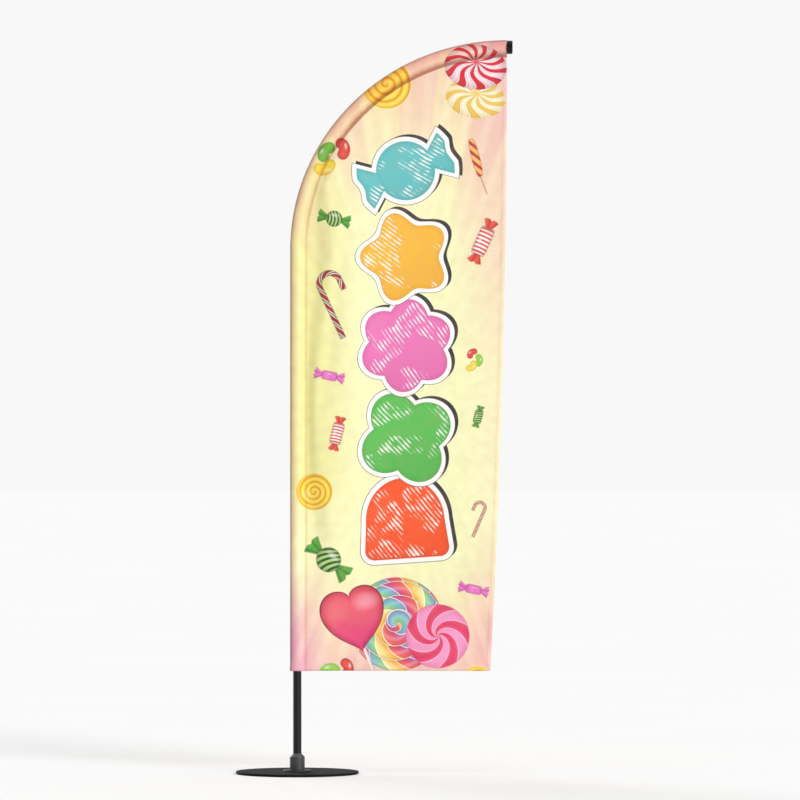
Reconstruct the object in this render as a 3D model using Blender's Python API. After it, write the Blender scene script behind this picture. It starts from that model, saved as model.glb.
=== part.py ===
"""A feather flag on a bent pole, standing on a round steel foot with a turning bearing collar.

Metres, +Z up. The origin is the centre of the underside, on the axis that the flag turns about.
The flag flies towards +X and its cloth lies in the plane y = 0.
"""

from math import cos, pi, radians, sin

import bmesh
import bpy
from mathutils import Matrix, Vector

# Fits: the clearance between pieces that touch, slide or turn in each other, and how far a cut runs past.
FIT_GAP = 0.0003
TURNING_GAP = 0.0005
CUT_OVERRUN = 0.002

# Foot: a steel plate on a rubber pad.
PAD_DIAMETER = 0.375
PAD_THICKNESS = 0.002
PLATE_DIAMETER = 0.385
PLATE_THICKNESS = 0.006
PLATE_CHAMFER = 0.0015

# Flange that carries the spindle, screwed to the plate.
FLANGE_DIAMETER = 0.090
FLANGE_THICKNESS = 0.004
FLANGE_CHAMFER = 0.0012
BOSS_HEIGHT = 0.0045
BOSS_WALL = 0.0022
SCREW_COUNT = 4
SCREW_EDGE_DISTANCE = 0.008
SCREW_DIAMETER = 0.006
SCREW_HEAD_DIAMETER = 0.0115
SCREW_BITE = 0.0045
SCREW_SOCKET_WIDTH = 0.004
SCREW_SOCKET_DEPTH = 0.002

# Spindle, its nut, and the two ball bearings on it.
SPINDLE_DIAMETER = 0.012
THREAD_DIAMETER = 0.008
THREAD_END = 0.0013
BEARING_WIDTH = 0.010
BEARING_SPACING = 0.004
RACE_WALL = 0.0015
RACE_SHOULDER = 0.0014
RACE_CHAMFER = 0.0004
SPACER_WALL = 0.002
BALL_DIAMETER = 0.006
BALL_COUNT = 7
CAGE_WALL = 0.0026
CAGE_BRIDGE = 0.0009
WASHER_THICKNESS = 0.0016
WASHER_WIDTH = 0.004
NUT_WIDTH = 0.013
NUT_HEIGHT = 0.0065

# Turning collar, and the spigot that carries the pole.
COLLAR_DIAMETER = 0.047
COLLAR_NECK_WALL = 0.002
COLLAR_SHOULDER_HEIGHT = 0.012
COLLAR_NECK_HEIGHT = 0.0094
COLLAR_CHAMFER = 0.0008
RACE_STOP = 0.002
RACE_STOP_HEIGHT = 0.0015
RACE_STOP_CHAMFER = 0.0003
SEAL_THICKNESS = 0.002
RING_THICKNESS = 0.0012
RING_WIDTH = 0.0026
RING_GROOVE = 0.0009
RING_OPENING = radians(40)
SPIGOT_REACH = 0.160
SPIGOT_WALL = 0.002
SPIGOT_RIM_WIDTH = 0.0022
SPIGOT_RIM_HEIGHT = 0.002
SPIGOT_TAPER = 0.004

# Pole: two straight tubes and a tapered rod that bends over into the top of the flag.
POLE_DIAMETER = 0.026
TUBE_WALL = 0.0015
LOWER_TUBE_LENGTH = 0.936
SECTION_OVERLAP = 0.100
FERRULE_HEIGHT = 0.020
ROD_TIP_DIAMETER = 0.009
CURVE_START = 1.640
CURVE_REACH = 0.656
CURVE_RISE = 0.634
MID_TUBE_BELOW_CURVE = 0.090

# Plug on the end of the rod.
CAP_DIAMETER = 0.042
CAP_LENGTH = 0.0175
CAP_ROUNDING = 0.003
CAP_NECK_WALL = 0.0035
CAP_NECK_LENGTH = 0.025

# Flag: a sleeve around the pole, and the cloth sewn to it.
FLAG_BOTTOM = 0.322
SLEEVE_EASE_ACROSS = 0.0095
SLEEVE_EASE_DEEP = 0.005
SLEEVE_CLOTH = 0.001
PANEL_THICKNESS = 0.001
FREE_EDGE_DRAW_IN = 0.052

# Hook on the lower tube and the webbing tab that pulls the sleeve down to it.
CLIP_ABOVE_HEM = 0.031
CLIP_HEIGHT = 0.012
CLIP_WALL = 0.0018
NOSE_WIDTH = 0.008
NOSE_ROOT_HEIGHT = 0.004
NOSE_LIP_THICKNESS = 0.0022
NOSE_LIP_DROP = 0.009
RIVET_DIAMETER = 0.004
RIVET_HEAD_DIAMETER = 0.007
RIVET_HEAD_HEIGHT = 0.0012
RIVET_CROWN = 0.7
TAB_THICKNESS = 0.0012
TAB_SIDE = 0.0018
TAB_FOOT = 0.005
TAB_LENGTH = 0.095
TAB_WINDOW = 0.042
TAB_BEND_HEIGHT = 0.020
TAB_SEWN_HEIGHT = 0.020

# Facets around round pieces.
DISC_SIDES = 72
ROUND_SIDES = 32
SMALL_SIDES = 24
HOLE_SIDES = 12
SLEEVE_SIDES = 16
ROD_SIDES = 12
BALL_SEGMENTS = 10
BALL_RINGS = 6
CURVE_STEPS = 20
STRAIGHT_STEPS = 4

# Heights of the stack from the floor up.
PLATE_BASE = PAD_THICKNESS + FIT_GAP
PLATE_TOP = PLATE_BASE + PLATE_THICKNESS
FLANGE_BASE = PLATE_TOP + FIT_GAP
FLANGE_TOP = FLANGE_BASE + FLANGE_THICKNESS
BOSS_TOP = FLANGE_TOP + BOSS_HEIGHT
LOWER_BEARING = BOSS_TOP + FIT_GAP
SPACER_BASE = LOWER_BEARING + BEARING_WIDTH + FIT_GAP
UPPER_BEARING = SPACER_BASE + BEARING_SPACING + FIT_GAP
RACES_TOP = UPPER_BEARING + BEARING_WIDTH
WASHER_BASE = RACES_TOP + FIT_GAP
NUT_BASE = WASHER_BASE + WASHER_THICKNESS + FIT_GAP
SPINDLE_TOP = NUT_BASE + NUT_HEIGHT + THREAD_END
SPIGOT_BASE = SPINDLE_TOP + FIT_GAP
COLLAR_BASE = FLANGE_TOP + TURNING_GAP
COLLAR_NECK_BASE = SPIGOT_BASE + SPIGOT_RIM_HEIGHT + FIT_GAP
COLLAR_TOP = COLLAR_NECK_BASE + COLLAR_NECK_HEIGHT
POLE_BASE = COLLAR_TOP + FIT_GAP
RING_BASE = LOWER_BEARING - FIT_GAP - RING_THICKNESS
SEAL_BASE = RING_BASE - FIT_GAP - SEAL_THICKNESS
LOWER_TUBE_TOP = POLE_BASE + LOWER_TUBE_LENGTH
MID_TUBE_BASE = LOWER_TUBE_TOP - SECTION_OVERLAP
MID_TUBE_TOP = CURVE_START - MID_TUBE_BELOW_CURVE
ROD_BASE = MID_TUBE_TOP - SECTION_OVERLAP
CLIP_BASE = FLAG_BOTTOM + CLIP_ABOVE_HEM
SCREW_TOP = FLANGE_TOP - FIT_GAP
SCREW_LENGTH = SCREW_TOP - PLATE_TOP + SCREW_BITE

# Radii of the bearing, from the spindle outwards.
RACE_BORE = SPINDLE_DIAMETER / 2 + FIT_GAP
INNER_GROOVE = RACE_BORE + RACE_WALL
GROOVE_RADIUS = BALL_DIAMETER / 2 + FIT_GAP
PITCH_RADIUS = INNER_GROOVE + GROOVE_RADIUS
OUTER_GROOVE = PITCH_RADIUS + GROOVE_RADIUS
RACE_OUTSIDE = OUTER_GROOVE + RACE_WALL
COLLAR_BORE = RACE_OUTSIDE + FIT_GAP
BOSS_RADIUS = RACE_BORE + BOSS_WALL
SCREW_CIRCLE_RADIUS = FLANGE_DIAMETER / 2 - SCREW_EDGE_DISTANCE

# Radii of the pole, from its outside inwards.
POLE_RADIUS = POLE_DIAMETER / 2
SPIGOT_RADIUS = POLE_RADIUS - TUBE_WALL - FIT_GAP
MID_TUBE_RADIUS = POLE_RADIUS - TUBE_WALL - FIT_GAP
ROD_RADIUS = MID_TUBE_RADIUS - TUBE_WALL - FIT_GAP
ROD_TIP_RADIUS = ROD_TIP_DIAMETER / 2
ROD_STEP_TAPER = (ROD_RADIUS - ROD_TIP_RADIUS) / CURVE_STEPS
SLEEVE_HALF_WIDTH = POLE_RADIUS + SLEEVE_EASE_ACROSS
SLEEVE_HALF_DEPTH = POLE_RADIUS + SLEEVE_EASE_DEEP

# Linear colour, roughness and metallic value of each material.
MATERIALS = {
    "black_rubber": ((0.012, 0.012, 0.012), 0.85, 0.0),
    "black_steel": ((0.010, 0.010, 0.011), 0.42, 0.3),
    "bright_steel": ((0.55, 0.55, 0.56), 0.28, 1.0),
    "zinc_steel": ((0.46, 0.47, 0.48), 0.38, 1.0),
    "cage_plastic": ((0.50, 0.42, 0.26), 0.5, 0.0),
    "dark_collar": ((0.030, 0.031, 0.033), 0.38, 0.2),
    "black_tube": ((0.014, 0.014, 0.015), 0.36, 0.2),
    "glass_fibre": ((0.018, 0.018, 0.020), 0.40, 0.0),
    "gloss_black": ((0.006, 0.006, 0.007), 0.15, 0.0),
    "black_plastic": ((0.015, 0.015, 0.016), 0.5, 0.0),
    "black_webbing": ((0.016, 0.016, 0.017), 0.9, 0.0),
    "printed_cloth": ((0.90, 0.80, 0.52), 0.8, 0.0),
    "sleeve_cloth": ((0.85, 0.62, 0.48), 0.8, 0.0),
}


def clear_scene():
    for old in list(bpy.data.objects):
        bpy.data.objects.remove(old, do_unlink=True)


def make_material(name):
    colour, roughness, metallic = MATERIALS[name]
    material = bpy.data.materials.new(name)
    material.use_nodes = True
    shader = material.node_tree.nodes["Principled BSDF"]
    shader.inputs["Base Color"].default_value = (*colour, 1.0)
    shader.inputs["Roughness"].default_value = roughness
    shader.inputs["Metallic"].default_value = metallic
    return material


def make_frame(name, parent=None):
    """An empty on the turning axis that a body's pieces hang on."""
    frame = bpy.data.objects.new(name, None)
    bpy.context.collection.objects.link(frame)
    frame.parent = parent
    return frame


def finish_mesh(bm, name):
    bmesh.ops.recalc_face_normals(bm, faces=bm.faces)
    mesh = bpy.data.meshes.new(name)
    bm.to_mesh(mesh)
    bm.free()
    mesh.shade_smooth()
    mesh.set_sharp_from_angle(angle=radians(35))
    return mesh


def place(name, mesh, material, frame, location=(0.0, 0.0, 0.0)):
    piece = bpy.data.objects.new(name, mesh)
    bpy.context.collection.objects.link(piece)
    if not mesh.materials:
        mesh.materials.append(material)
    piece.parent = frame
    piece.location = location
    return piece


def turned_mesh(name, profile, sides):
    """A mesh turned about Z from (radius, height) points: a ring, unless both ends are on Z."""
    bm = bmesh.new()
    verts = [bm.verts.new((radius, 0.0, height)) for radius, height in profile]
    pairs = list(zip(verts, verts[1:]))
    if profile[0][0] > 0.0:
        pairs.append((verts[-1], verts[0]))
    edges = [bm.edges.new(pair) for pair in pairs]
    bmesh.ops.spin(
        bm, geom=verts + edges, cent=(0, 0, 0), axis=(0, 0, 1), angle=2 * pi, steps=sides, use_merge=True
    )
    bmesh.ops.remove_doubles(bm, verts=bm.verts, dist=1e-6)
    return finish_mesh(bm, name)


def ring_profile(inner, outer, height, chamfer=0.0):
    """The section of a plain ring that stands on its own z = 0."""
    if chamfer == 0.0:
        return [(inner, 0.0), (outer, 0.0), (outer, height), (inner, height)]
    return [
        (inner, chamfer),
        (inner + chamfer, 0.0),
        (outer - chamfer, 0.0),
        (outer, chamfer),
        (outer, height - chamfer),
        (outer - chamfer, height),
        (inner + chamfer, height),
        (inner, height - chamfer),
    ]


def disc_profile(radius, height, chamfer):
    return [
        (0.0, 0.0),
        (radius - chamfer, 0.0),
        (radius, chamfer),
        (radius, height - chamfer),
        (radius - chamfer, height),
        (0.0, height),
    ]


def rod_profile(radius, low, high):
    return [(0.0, low), (radius, low), (radius, high), (0.0, high)]


def arc_points(centre, radius, start, end, steps):
    """Points of a circular arc in a (radius, height) section."""
    angles = [start + (end - start) * step / steps for step in range(steps + 1)]
    return [(centre[0] + radius * cos(a), centre[1] + radius * sin(a)) for a in angles]


def loft_mesh(name, rings, closed):
    """Skin between rings of points; closed joins the last ring to the first, else both ends are capped."""
    bm = bmesh.new()
    loops = [[bm.verts.new(point) for point in ring] for ring in rings]
    count = len(loops[0])
    following = loops[1:] + ([loops[0]] if closed else [])
    for low, high in zip(loops, following):
        for i in range(count):
            j = (i + 1) % count
            bm.faces.new((low[i], low[j], high[j], high[i]))
    if not closed:
        bm.faces.new(loops[0][::-1])
        bm.faces.new(loops[-1])
    return finish_mesh(bm, name)


def extruded_mesh(name, outline, depth):
    """An outline of (x, z) points, made into a plate of the given depth centred on y = 0."""
    bm = bmesh.new()
    face = bm.faces.new([bm.verts.new((x, -depth / 2, z)) for x, z in outline])
    grown = bmesh.ops.extrude_face_region(bm, geom=[face])["geom"]
    moved = [item for item in grown if isinstance(item, bmesh.types.BMVert)]
    bmesh.ops.translate(bm, verts=moved, vec=(0.0, depth, 0.0))
    return finish_mesh(bm, name)


def make_helper(name, mesh, frame, location=(0.0, 0.0, 0.0)):
    helper = bpy.data.objects.new(name, mesh)
    bpy.context.collection.objects.link(helper)
    helper.parent = frame
    helper.location = location
    helper.hide_render = True
    helper.display_type = "WIRE"
    return helper


def add_boolean(piece, helper, operation):
    modifier = piece.modifiers.new(helper.name, "BOOLEAN")
    modifier.operation = operation
    modifier.solver = "EXACT"
    modifier.object = helper


def copies_around(mesh, places, name):
    """One mesh that holds a copy of another at each of the given matrices."""
    bm = bmesh.new()
    for matrix in places:
        copy = mesh.copy()
        copy.transform(matrix)
        bm.from_mesh(copy)
        bpy.data.meshes.remove(copy)
    return finish_mesh(bm, name)


def screw_places(height):
    turns = [2 * pi * i / SCREW_COUNT for i in range(SCREW_COUNT)]
    return [(SCREW_CIRCLE_RADIUS * cos(turn), SCREW_CIRCLE_RADIUS * sin(turn), height) for turn in turns]


def hexagon_mesh(name, width, low, high):
    """A hexagonal bar along Z, of the given width across its flats."""
    corner = width / 2 / cos(pi / 6)
    angles = [pi / 6 + pi / 3 * i for i in range(6)]
    rings = [[(corner * cos(a), corner * sin(a), z) for a in angles] for z in (low, high)]
    return loft_mesh(name, rings, closed=False)


def build_screws(materials, frame):
    """Countersunk screws, and the matching holes in the flange and the plate."""
    head = SCREW_HEAD_DIAMETER / 2
    shank = SCREW_DIAMETER / 2
    cone = head - shank
    profile = [(0.0, -SCREW_LENGTH), (shank, -SCREW_LENGTH), (shank, -cone), (head, 0.0), (0.0, 0.0)]
    mesh = turned_mesh("flange_screw", profile, SMALL_SIDES)
    socket = hexagon_mesh("screw_socket", SCREW_SOCKET_WIDTH, -SCREW_SOCKET_DEPTH, SCREW_SOCKET_DEPTH)
    for number, spot in enumerate(screw_places(SCREW_TOP), 1):
        screw = place(f"flange_screw_{number}", mesh, materials["zinc_steel"], frame, spot)
        add_boolean(screw, make_helper(f"screw_socket_{number}", socket, frame, spot), "DIFFERENCE")
    bore = shank + FIT_GAP
    foot = -SCREW_LENGTH - FIT_GAP
    mouth = head + 2 * FIT_GAP
    hole = [
        (0.0, foot),
        (bore, foot),
        (bore, -cone),
        (mouth, FIT_GAP),
        (mouth, CUT_OVERRUN),
        (0.0, CUT_OVERRUN),
    ]
    hole_mesh = turned_mesh("screw_hole", hole, SMALL_SIDES)
    matrices = [Matrix.Translation(spot) for spot in screw_places(SCREW_TOP)]
    return make_helper("screw_holes", copies_around(hole_mesh, matrices, "screw_holes"), frame)


def build_foot(materials, frame):
    pad = turned_mesh("non_slip_pad", disc_profile(PAD_DIAMETER / 2, PAD_THICKNESS, 0.0004), DISC_SIDES)
    place("non_slip_pad", pad, materials["black_rubber"], frame)
    plate = turned_mesh(
        "base_plate", disc_profile(PLATE_DIAMETER / 2, PLATE_THICKNESS, PLATE_CHAMFER), DISC_SIDES
    )
    plate_piece = place("base_plate", plate, materials["black_steel"], frame, (0, 0, PLATE_BASE))
    bore = SPINDLE_DIAMETER / 2 + FIT_GAP
    outer = FLANGE_DIAMETER / 2
    profile = [
        (bore, 0.0),
        (outer, 0.0),
        (outer, FLANGE_THICKNESS - FLANGE_CHAMFER),
        (outer - FLANGE_CHAMFER, FLANGE_THICKNESS),
        (BOSS_RADIUS, FLANGE_THICKNESS),
        (BOSS_RADIUS, FLANGE_THICKNESS + BOSS_HEIGHT),
        (bore, FLANGE_THICKNESS + BOSS_HEIGHT),
    ]
    flange = turned_mesh("spindle_flange", profile, ROUND_SIDES)
    flange_piece = place("spindle_flange", flange, materials["black_steel"], frame, (0, 0, FLANGE_BASE))
    holes = build_screws(materials, frame)
    add_boolean(plate_piece, holes, "DIFFERENCE")
    add_boolean(flange_piece, holes, "DIFFERENCE")


def build_spindle(materials, frame):
    """The fixed axle, with the washer and the nut that clamp the inner races."""
    shank = SPINDLE_DIAMETER / 2
    thread = THREAD_DIAMETER / 2
    length = SPINDLE_TOP - FLANGE_BASE
    step = RACES_TOP - FIT_GAP - FLANGE_BASE
    chamfer = 0.0006
    profile = [
        (0.0, 0.0),
        (shank, 0.0),
        (shank, step),
        (thread, step),
        (thread, length - chamfer),
        (thread - chamfer, length),
        (0.0, length),
    ]
    spindle = turned_mesh("spindle", profile, SMALL_SIDES)
    place("spindle", spindle, materials["bright_steel"], frame, (0, 0, FLANGE_BASE))
    bore = thread + FIT_GAP
    washer = turned_mesh(
        "spindle_washer", ring_profile(bore, bore + WASHER_WIDTH, WASHER_THICKNESS), SMALL_SIDES
    )
    place("spindle_washer", washer, materials["zinc_steel"], frame, (0, 0, WASHER_BASE))
    nut = hexagon_mesh("lock_nut", NUT_WIDTH, 0.0, NUT_HEIGHT)
    nut_piece = place("lock_nut", nut, materials["zinc_steel"], frame, (0, 0, NUT_BASE))
    drill = rod_profile(bore, -CUT_OVERRUN, NUT_HEIGHT + CUT_OVERRUN)
    drill_mesh = turned_mesh("nut_bore", drill, SMALL_SIDES)
    add_boolean(nut_piece, make_helper("nut_bore", drill_mesh, frame, (0, 0, NUT_BASE)), "DIFFERENCE")
    spacer = turned_mesh(
        "inner_spacer", ring_profile(RACE_BORE, RACE_BORE + SPACER_WALL, BEARING_SPACING), SMALL_SIDES
    )
    place("inner_spacer", spacer, materials["bright_steel"], frame, (0, 0, SPACER_BASE))


def groove_angle(shoulder):
    """Half the angle of a race's groove, where it meets a shoulder at that distance inside the pitch."""
    return Vector((shoulder, (GROOVE_RADIUS**2 - shoulder**2) ** 0.5)).angle(Vector((1.0, 0.0)))


def build_bearing(side, base, materials, frames):
    """Inner race, outer race, cage and balls of one bearing, standing on the height base."""
    middle = BEARING_WIDTH / 2
    shoulder = GROOVE_RADIUS - RACE_SHOULDER
    half = groove_angle(shoulder)
    inner_lip = PITCH_RADIUS - shoulder
    groove = arc_points((PITCH_RADIUS, middle), GROOVE_RADIUS, pi + half, pi - half, 4)
    inner = [
        (RACE_BORE, 0.0),
        (inner_lip - RACE_CHAMFER, 0.0),
        (inner_lip, RACE_CHAMFER),
        *groove,
        (inner_lip, BEARING_WIDTH - RACE_CHAMFER),
        (inner_lip - RACE_CHAMFER, BEARING_WIDTH),
        (RACE_BORE, BEARING_WIDTH),
    ]
    inner_mesh = turned_mesh(f"{side}_inner_race", inner, SMALL_SIDES)
    place(f"{side}_inner_race", inner_mesh, materials["bright_steel"], frames["base"], (0, 0, base))
    outer_lip = PITCH_RADIUS + shoulder
    groove = arc_points((PITCH_RADIUS, middle), GROOVE_RADIUS, half, -half, 4)
    outer = [
        (RACE_OUTSIDE - RACE_CHAMFER, 0.0),
        (RACE_OUTSIDE, RACE_CHAMFER),
        (RACE_OUTSIDE, BEARING_WIDTH - RACE_CHAMFER),
        (RACE_OUTSIDE - RACE_CHAMFER, BEARING_WIDTH),
        (outer_lip, BEARING_WIDTH),
        *groove,
        (outer_lip, 0.0),
    ]
    outer_mesh = turned_mesh(f"{side}_outer_race", outer, SMALL_SIDES)
    place(f"{side}_outer_race", outer_mesh, materials["bright_steel"], frames["rotor"], (0, 0, base))
    build_cage(side, base + middle, materials, frames[f"{side}_cage"])


def build_cage(side, middle, materials, frame):
    """The cage and its balls, which run round the spindle together."""
    half = GROOVE_RADIUS + CAGE_BRIDGE
    ring = ring_profile(PITCH_RADIUS - CAGE_WALL / 2, PITCH_RADIUS + CAGE_WALL / 2, 2 * half)
    cage_mesh = turned_mesh(f"{side}_cage", ring, BALL_COUNT * 4)
    cage = place(f"{side}_cage", cage_mesh, materials["cage_plastic"], frame, (0, 0, middle - half))
    pocket_mesh = turned_mesh("cage_pocket", rod_profile(GROOVE_RADIUS, -CAGE_WALL, CAGE_WALL), HOLE_SIDES)
    turns = [2 * pi * (i + 0.5) / BALL_COUNT for i in range(BALL_COUNT)]
    across = Matrix.Translation((PITCH_RADIUS, 0, 0)) @ Matrix.Rotation(pi / 2, 4, "Y")
    pockets = copies_around(pocket_mesh, [Matrix.Rotation(t, 4, "Z") @ across for t in turns], "pockets")
    add_boolean(cage, make_helper(f"{side}_cage_pockets", pockets, frame, (0, 0, middle)), "DIFFERENCE")
    bm = bmesh.new()
    bmesh.ops.create_uvsphere(
        bm, u_segments=BALL_SEGMENTS, v_segments=BALL_RINGS, radius=BALL_DIAMETER / 2
    )
    ball_mesh = finish_mesh(bm, f"{side}_ball")
    for number, turn in enumerate(turns, 1):
        spot = (PITCH_RADIUS * cos(turn), PITCH_RADIUS * sin(turn), middle)
        place(f"{side}_ball_{number}", ball_mesh, materials["bright_steel"], frame, spot)


def build_collar(materials, frame):
    """The turning collar around the bearings, closed below by a seal and a spring ring."""
    outer = COLLAR_DIAMETER / 2
    neck_bore = SPIGOT_RADIUS + FIT_GAP
    neck = neck_bore + COLLAR_NECK_WALL
    stop_bore = RACE_OUTSIDE - RACE_STOP
    rim_room = max(stop_bore, SPIGOT_RADIUS + SPIGOT_RIM_WIDTH + FIT_GAP)
    stop_top = RACES_TOP + FIT_GAP + RACE_STOP_HEIGHT
    groove = COLLAR_BORE + RING_GROOVE
    shoulder_base = COLLAR_TOP - COLLAR_SHOULDER_HEIGHT
    rounding = 0.003
    profile = [
        (COLLAR_BORE, COLLAR_BASE),
        (outer - COLLAR_CHAMFER, COLLAR_BASE),
        (outer, COLLAR_BASE + COLLAR_CHAMFER),
        *arc_points((outer - rounding, shoulder_base), rounding, 0.0, radians(38), 3),
        (neck + 0.0006, COLLAR_TOP - 0.0015),
        (neck, COLLAR_TOP),
        (neck_bore, COLLAR_TOP),
        (neck_bore, COLLAR_NECK_BASE),
        (rim_room, COLLAR_NECK_BASE),
        (rim_room, stop_top),
        (stop_bore, stop_top - RACE_STOP_CHAMFER),
        (stop_bore, RACES_TOP + FIT_GAP),
        (COLLAR_BORE, RACES_TOP + FIT_GAP),
        (COLLAR_BORE, LOWER_BEARING - FIT_GAP / 2),
        (groove, LOWER_BEARING - FIT_GAP / 2),
        (groove, RING_BASE - FIT_GAP / 2),
        (COLLAR_BORE, RING_BASE - FIT_GAP / 2),
    ]
    place("collar", turned_mesh("collar", profile, ROUND_SIDES), materials["dark_collar"], frame)
    spacer_wall = RACE_OUTSIDE - SPACER_WALL
    spacer = turned_mesh(
        "outer_spacer", ring_profile(spacer_wall, RACE_OUTSIDE, BEARING_SPACING), SMALL_SIDES
    )
    place("outer_spacer", spacer, materials["bright_steel"], frame, (0, 0, SPACER_BASE))
    seal = turned_mesh(
        "dust_seal", ring_profile(BOSS_RADIUS + TURNING_GAP, RACE_OUTSIDE, SEAL_THICKNESS), SMALL_SIDES
    )
    place("dust_seal", seal, materials["black_rubber"], frame, (0, 0, SEAL_BASE))
    ring_outer = groove - FIT_GAP
    ring_inner = ring_outer - RING_WIDTH
    turns = [RING_OPENING / 2 + (2 * pi - RING_OPENING) * i / SMALL_SIDES for i in range(SMALL_SIDES + 1)]
    section = ring_profile(ring_inner, ring_outer, RING_THICKNESS)
    rings = [[(r * cos(turn), r * sin(turn), z) for r, z in section] for turn in turns]
    ring = loft_mesh("retaining_ring", rings, closed=False)
    place("retaining_ring", ring, materials["zinc_steel"], frame, (0, 0, RING_BASE))


def build_spigot(materials, frame):
    """The tube fixed in the collar's neck, which the pole is pushed over."""
    outer = SPIGOT_RADIUS
    inner = outer - SPIGOT_WALL
    rim = outer + SPIGOT_RIM_WIDTH
    length = COLLAR_TOP + SPIGOT_REACH - SPIGOT_BASE
    profile = [
        (inner, 0.0),
        (rim, 0.0),
        (rim, SPIGOT_RIM_HEIGHT),
        (outer, SPIGOT_RIM_HEIGHT),
        (outer, length - SPIGOT_TAPER),
        (outer - SPIGOT_WALL / 2, length),
        (inner, length),
    ]
    spigot = turned_mesh("spigot", profile, ROUND_SIDES)
    place("spigot", spigot, materials["bright_steel"], frame, (0, 0, SPIGOT_BASE))


def pole_line(base, straight_steps):
    """Points on the pole's centre line from the height base to its tip, each with its outward normal."""
    rise = CURVE_START - base
    line = [
        (Vector((0.0, 0.0, base + rise * i / straight_steps)), Vector((-1.0, 0.0, 0.0)))
        for i in range(straight_steps)
    ]
    for i in range(CURVE_STEPS + 1):
        angle = pi / 2 * i / CURVE_STEPS
        point = Vector((CURVE_REACH * (1 - cos(angle)), 0.0, CURVE_START + CURVE_RISE * sin(angle)))
        normal = Vector((-cos(angle) / CURVE_REACH, 0.0, sin(angle) / CURVE_RISE)).normalized()
        line.append((point, normal))
    return line


def oval(point, normal, half_width, half_depth, sides):
    """An oval ring of points around a point of the pole's line."""
    angles = [2 * pi * i / sides for i in range(sides)]
    side = Vector((0.0, 1.0, 0.0))
    return [point + normal * (half_width * cos(a)) + side * (half_depth * sin(a)) for a in angles]


def build_tubes(materials, frame):
    """The two straight tubes, and the ferrules that stop each section on the one below it."""
    lower = turned_mesh(
        "lower_tube",
        ring_profile(POLE_RADIUS - TUBE_WALL, POLE_RADIUS, LOWER_TUBE_LENGTH, TUBE_WALL / 4),
        ROUND_SIDES,
    )
    lower_piece = place("lower_tube", lower, materials["black_tube"], frame, (0, 0, POLE_BASE))
    bore = MID_TUBE_RADIUS - TUBE_WALL
    middle = turned_mesh(
        "middle_tube", ring_profile(bore, MID_TUBE_RADIUS, MID_TUBE_TOP - MID_TUBE_BASE), SMALL_SIDES
    )
    place("middle_tube", middle, materials["black_tube"], frame, (0, 0, MID_TUBE_BASE))
    bore = MID_TUBE_RADIUS + FIT_GAP
    ferrule = turned_mesh("lower_ferrule", ring_profile(bore, POLE_RADIUS, FERRULE_HEIGHT), SMALL_SIDES)
    place("lower_ferrule", ferrule, materials["bright_steel"], frame, (0, 0, LOWER_TUBE_TOP + FIT_GAP))
    bore = ROD_RADIUS + FIT_GAP
    ferrule = turned_mesh("upper_ferrule", ring_profile(bore, MID_TUBE_RADIUS, FERRULE_HEIGHT), SMALL_SIDES)
    place("upper_ferrule", ferrule, materials["bright_steel"], frame, (0, 0, MID_TUBE_TOP + FIT_GAP))
    return lower_piece


def build_rod(materials, frame):
    """The glass-fibre rod: parallel in the tube below, then tapered around the curve to its tip."""
    taper_base = MID_TUBE_TOP + FIT_GAP + FERRULE_HEIGHT + FIT_GAP
    foot = [(Vector((0.0, 0.0, z)), Vector((-1.0, 0.0, 0.0)), ROD_RADIUS) for z in (ROD_BASE, taper_base)]
    line = pole_line(taper_base, 1)[1:]
    curve = [(p, n, ROD_RADIUS - ROD_STEP_TAPER * i) for i, (p, n) in enumerate(line)]
    rings = [oval(point, normal, radius, radius, ROD_SIDES) for point, normal, radius in foot + curve]
    place("top_rod", loft_mesh("top_rod", rings, closed=False), materials["glass_fibre"], frame)


def rod_spread():
    """How far the rod's tip spreads from the cap's axis at the neck's mouth, by its taper and its bend."""
    step = pi / 2 / CURVE_STEPS
    share = CAP_NECK_LENGTH / (CURVE_REACH * sin(step))
    return share * (ROD_STEP_TAPER + CURVE_RISE * (1 - cos(step)))


def build_cap(materials, frame):
    """The plug on the rod's tip: its head closes the sleeve's end, and its neck holds the rod."""
    head = CAP_DIAMETER / 2
    socket = ROD_TIP_RADIUS + rod_spread() + FIT_GAP
    neck = socket + CAP_NECK_WALL
    socket_end = FIT_GAP + CAP_ROUNDING
    face = CAP_LENGTH - CAP_ROUNDING
    profile = [
        (0.0, socket_end),
        (socket, socket_end),
        (socket, -CAP_NECK_LENGTH),
        (neck, -CAP_NECK_LENGTH),
        (neck, 0.0),
        (head - CAP_ROUNDING / 3, 0.0),
        (head, CAP_ROUNDING / 3),
        *arc_points((head - CAP_ROUNDING, face), CAP_ROUNDING, 0.0, pi / 2, 4),
        (0.0, CAP_LENGTH),
    ]
    mesh = turned_mesh("tip_cap", profile, ROUND_SIDES)
    mesh.transform(Matrix.Rotation(pi / 2, 4, "Y"))
    tip = (CURVE_REACH + FIT_GAP, 0.0, CURVE_START + CURVE_RISE)
    place("tip_cap", mesh, materials["gloss_black"], frame, tip)


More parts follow.
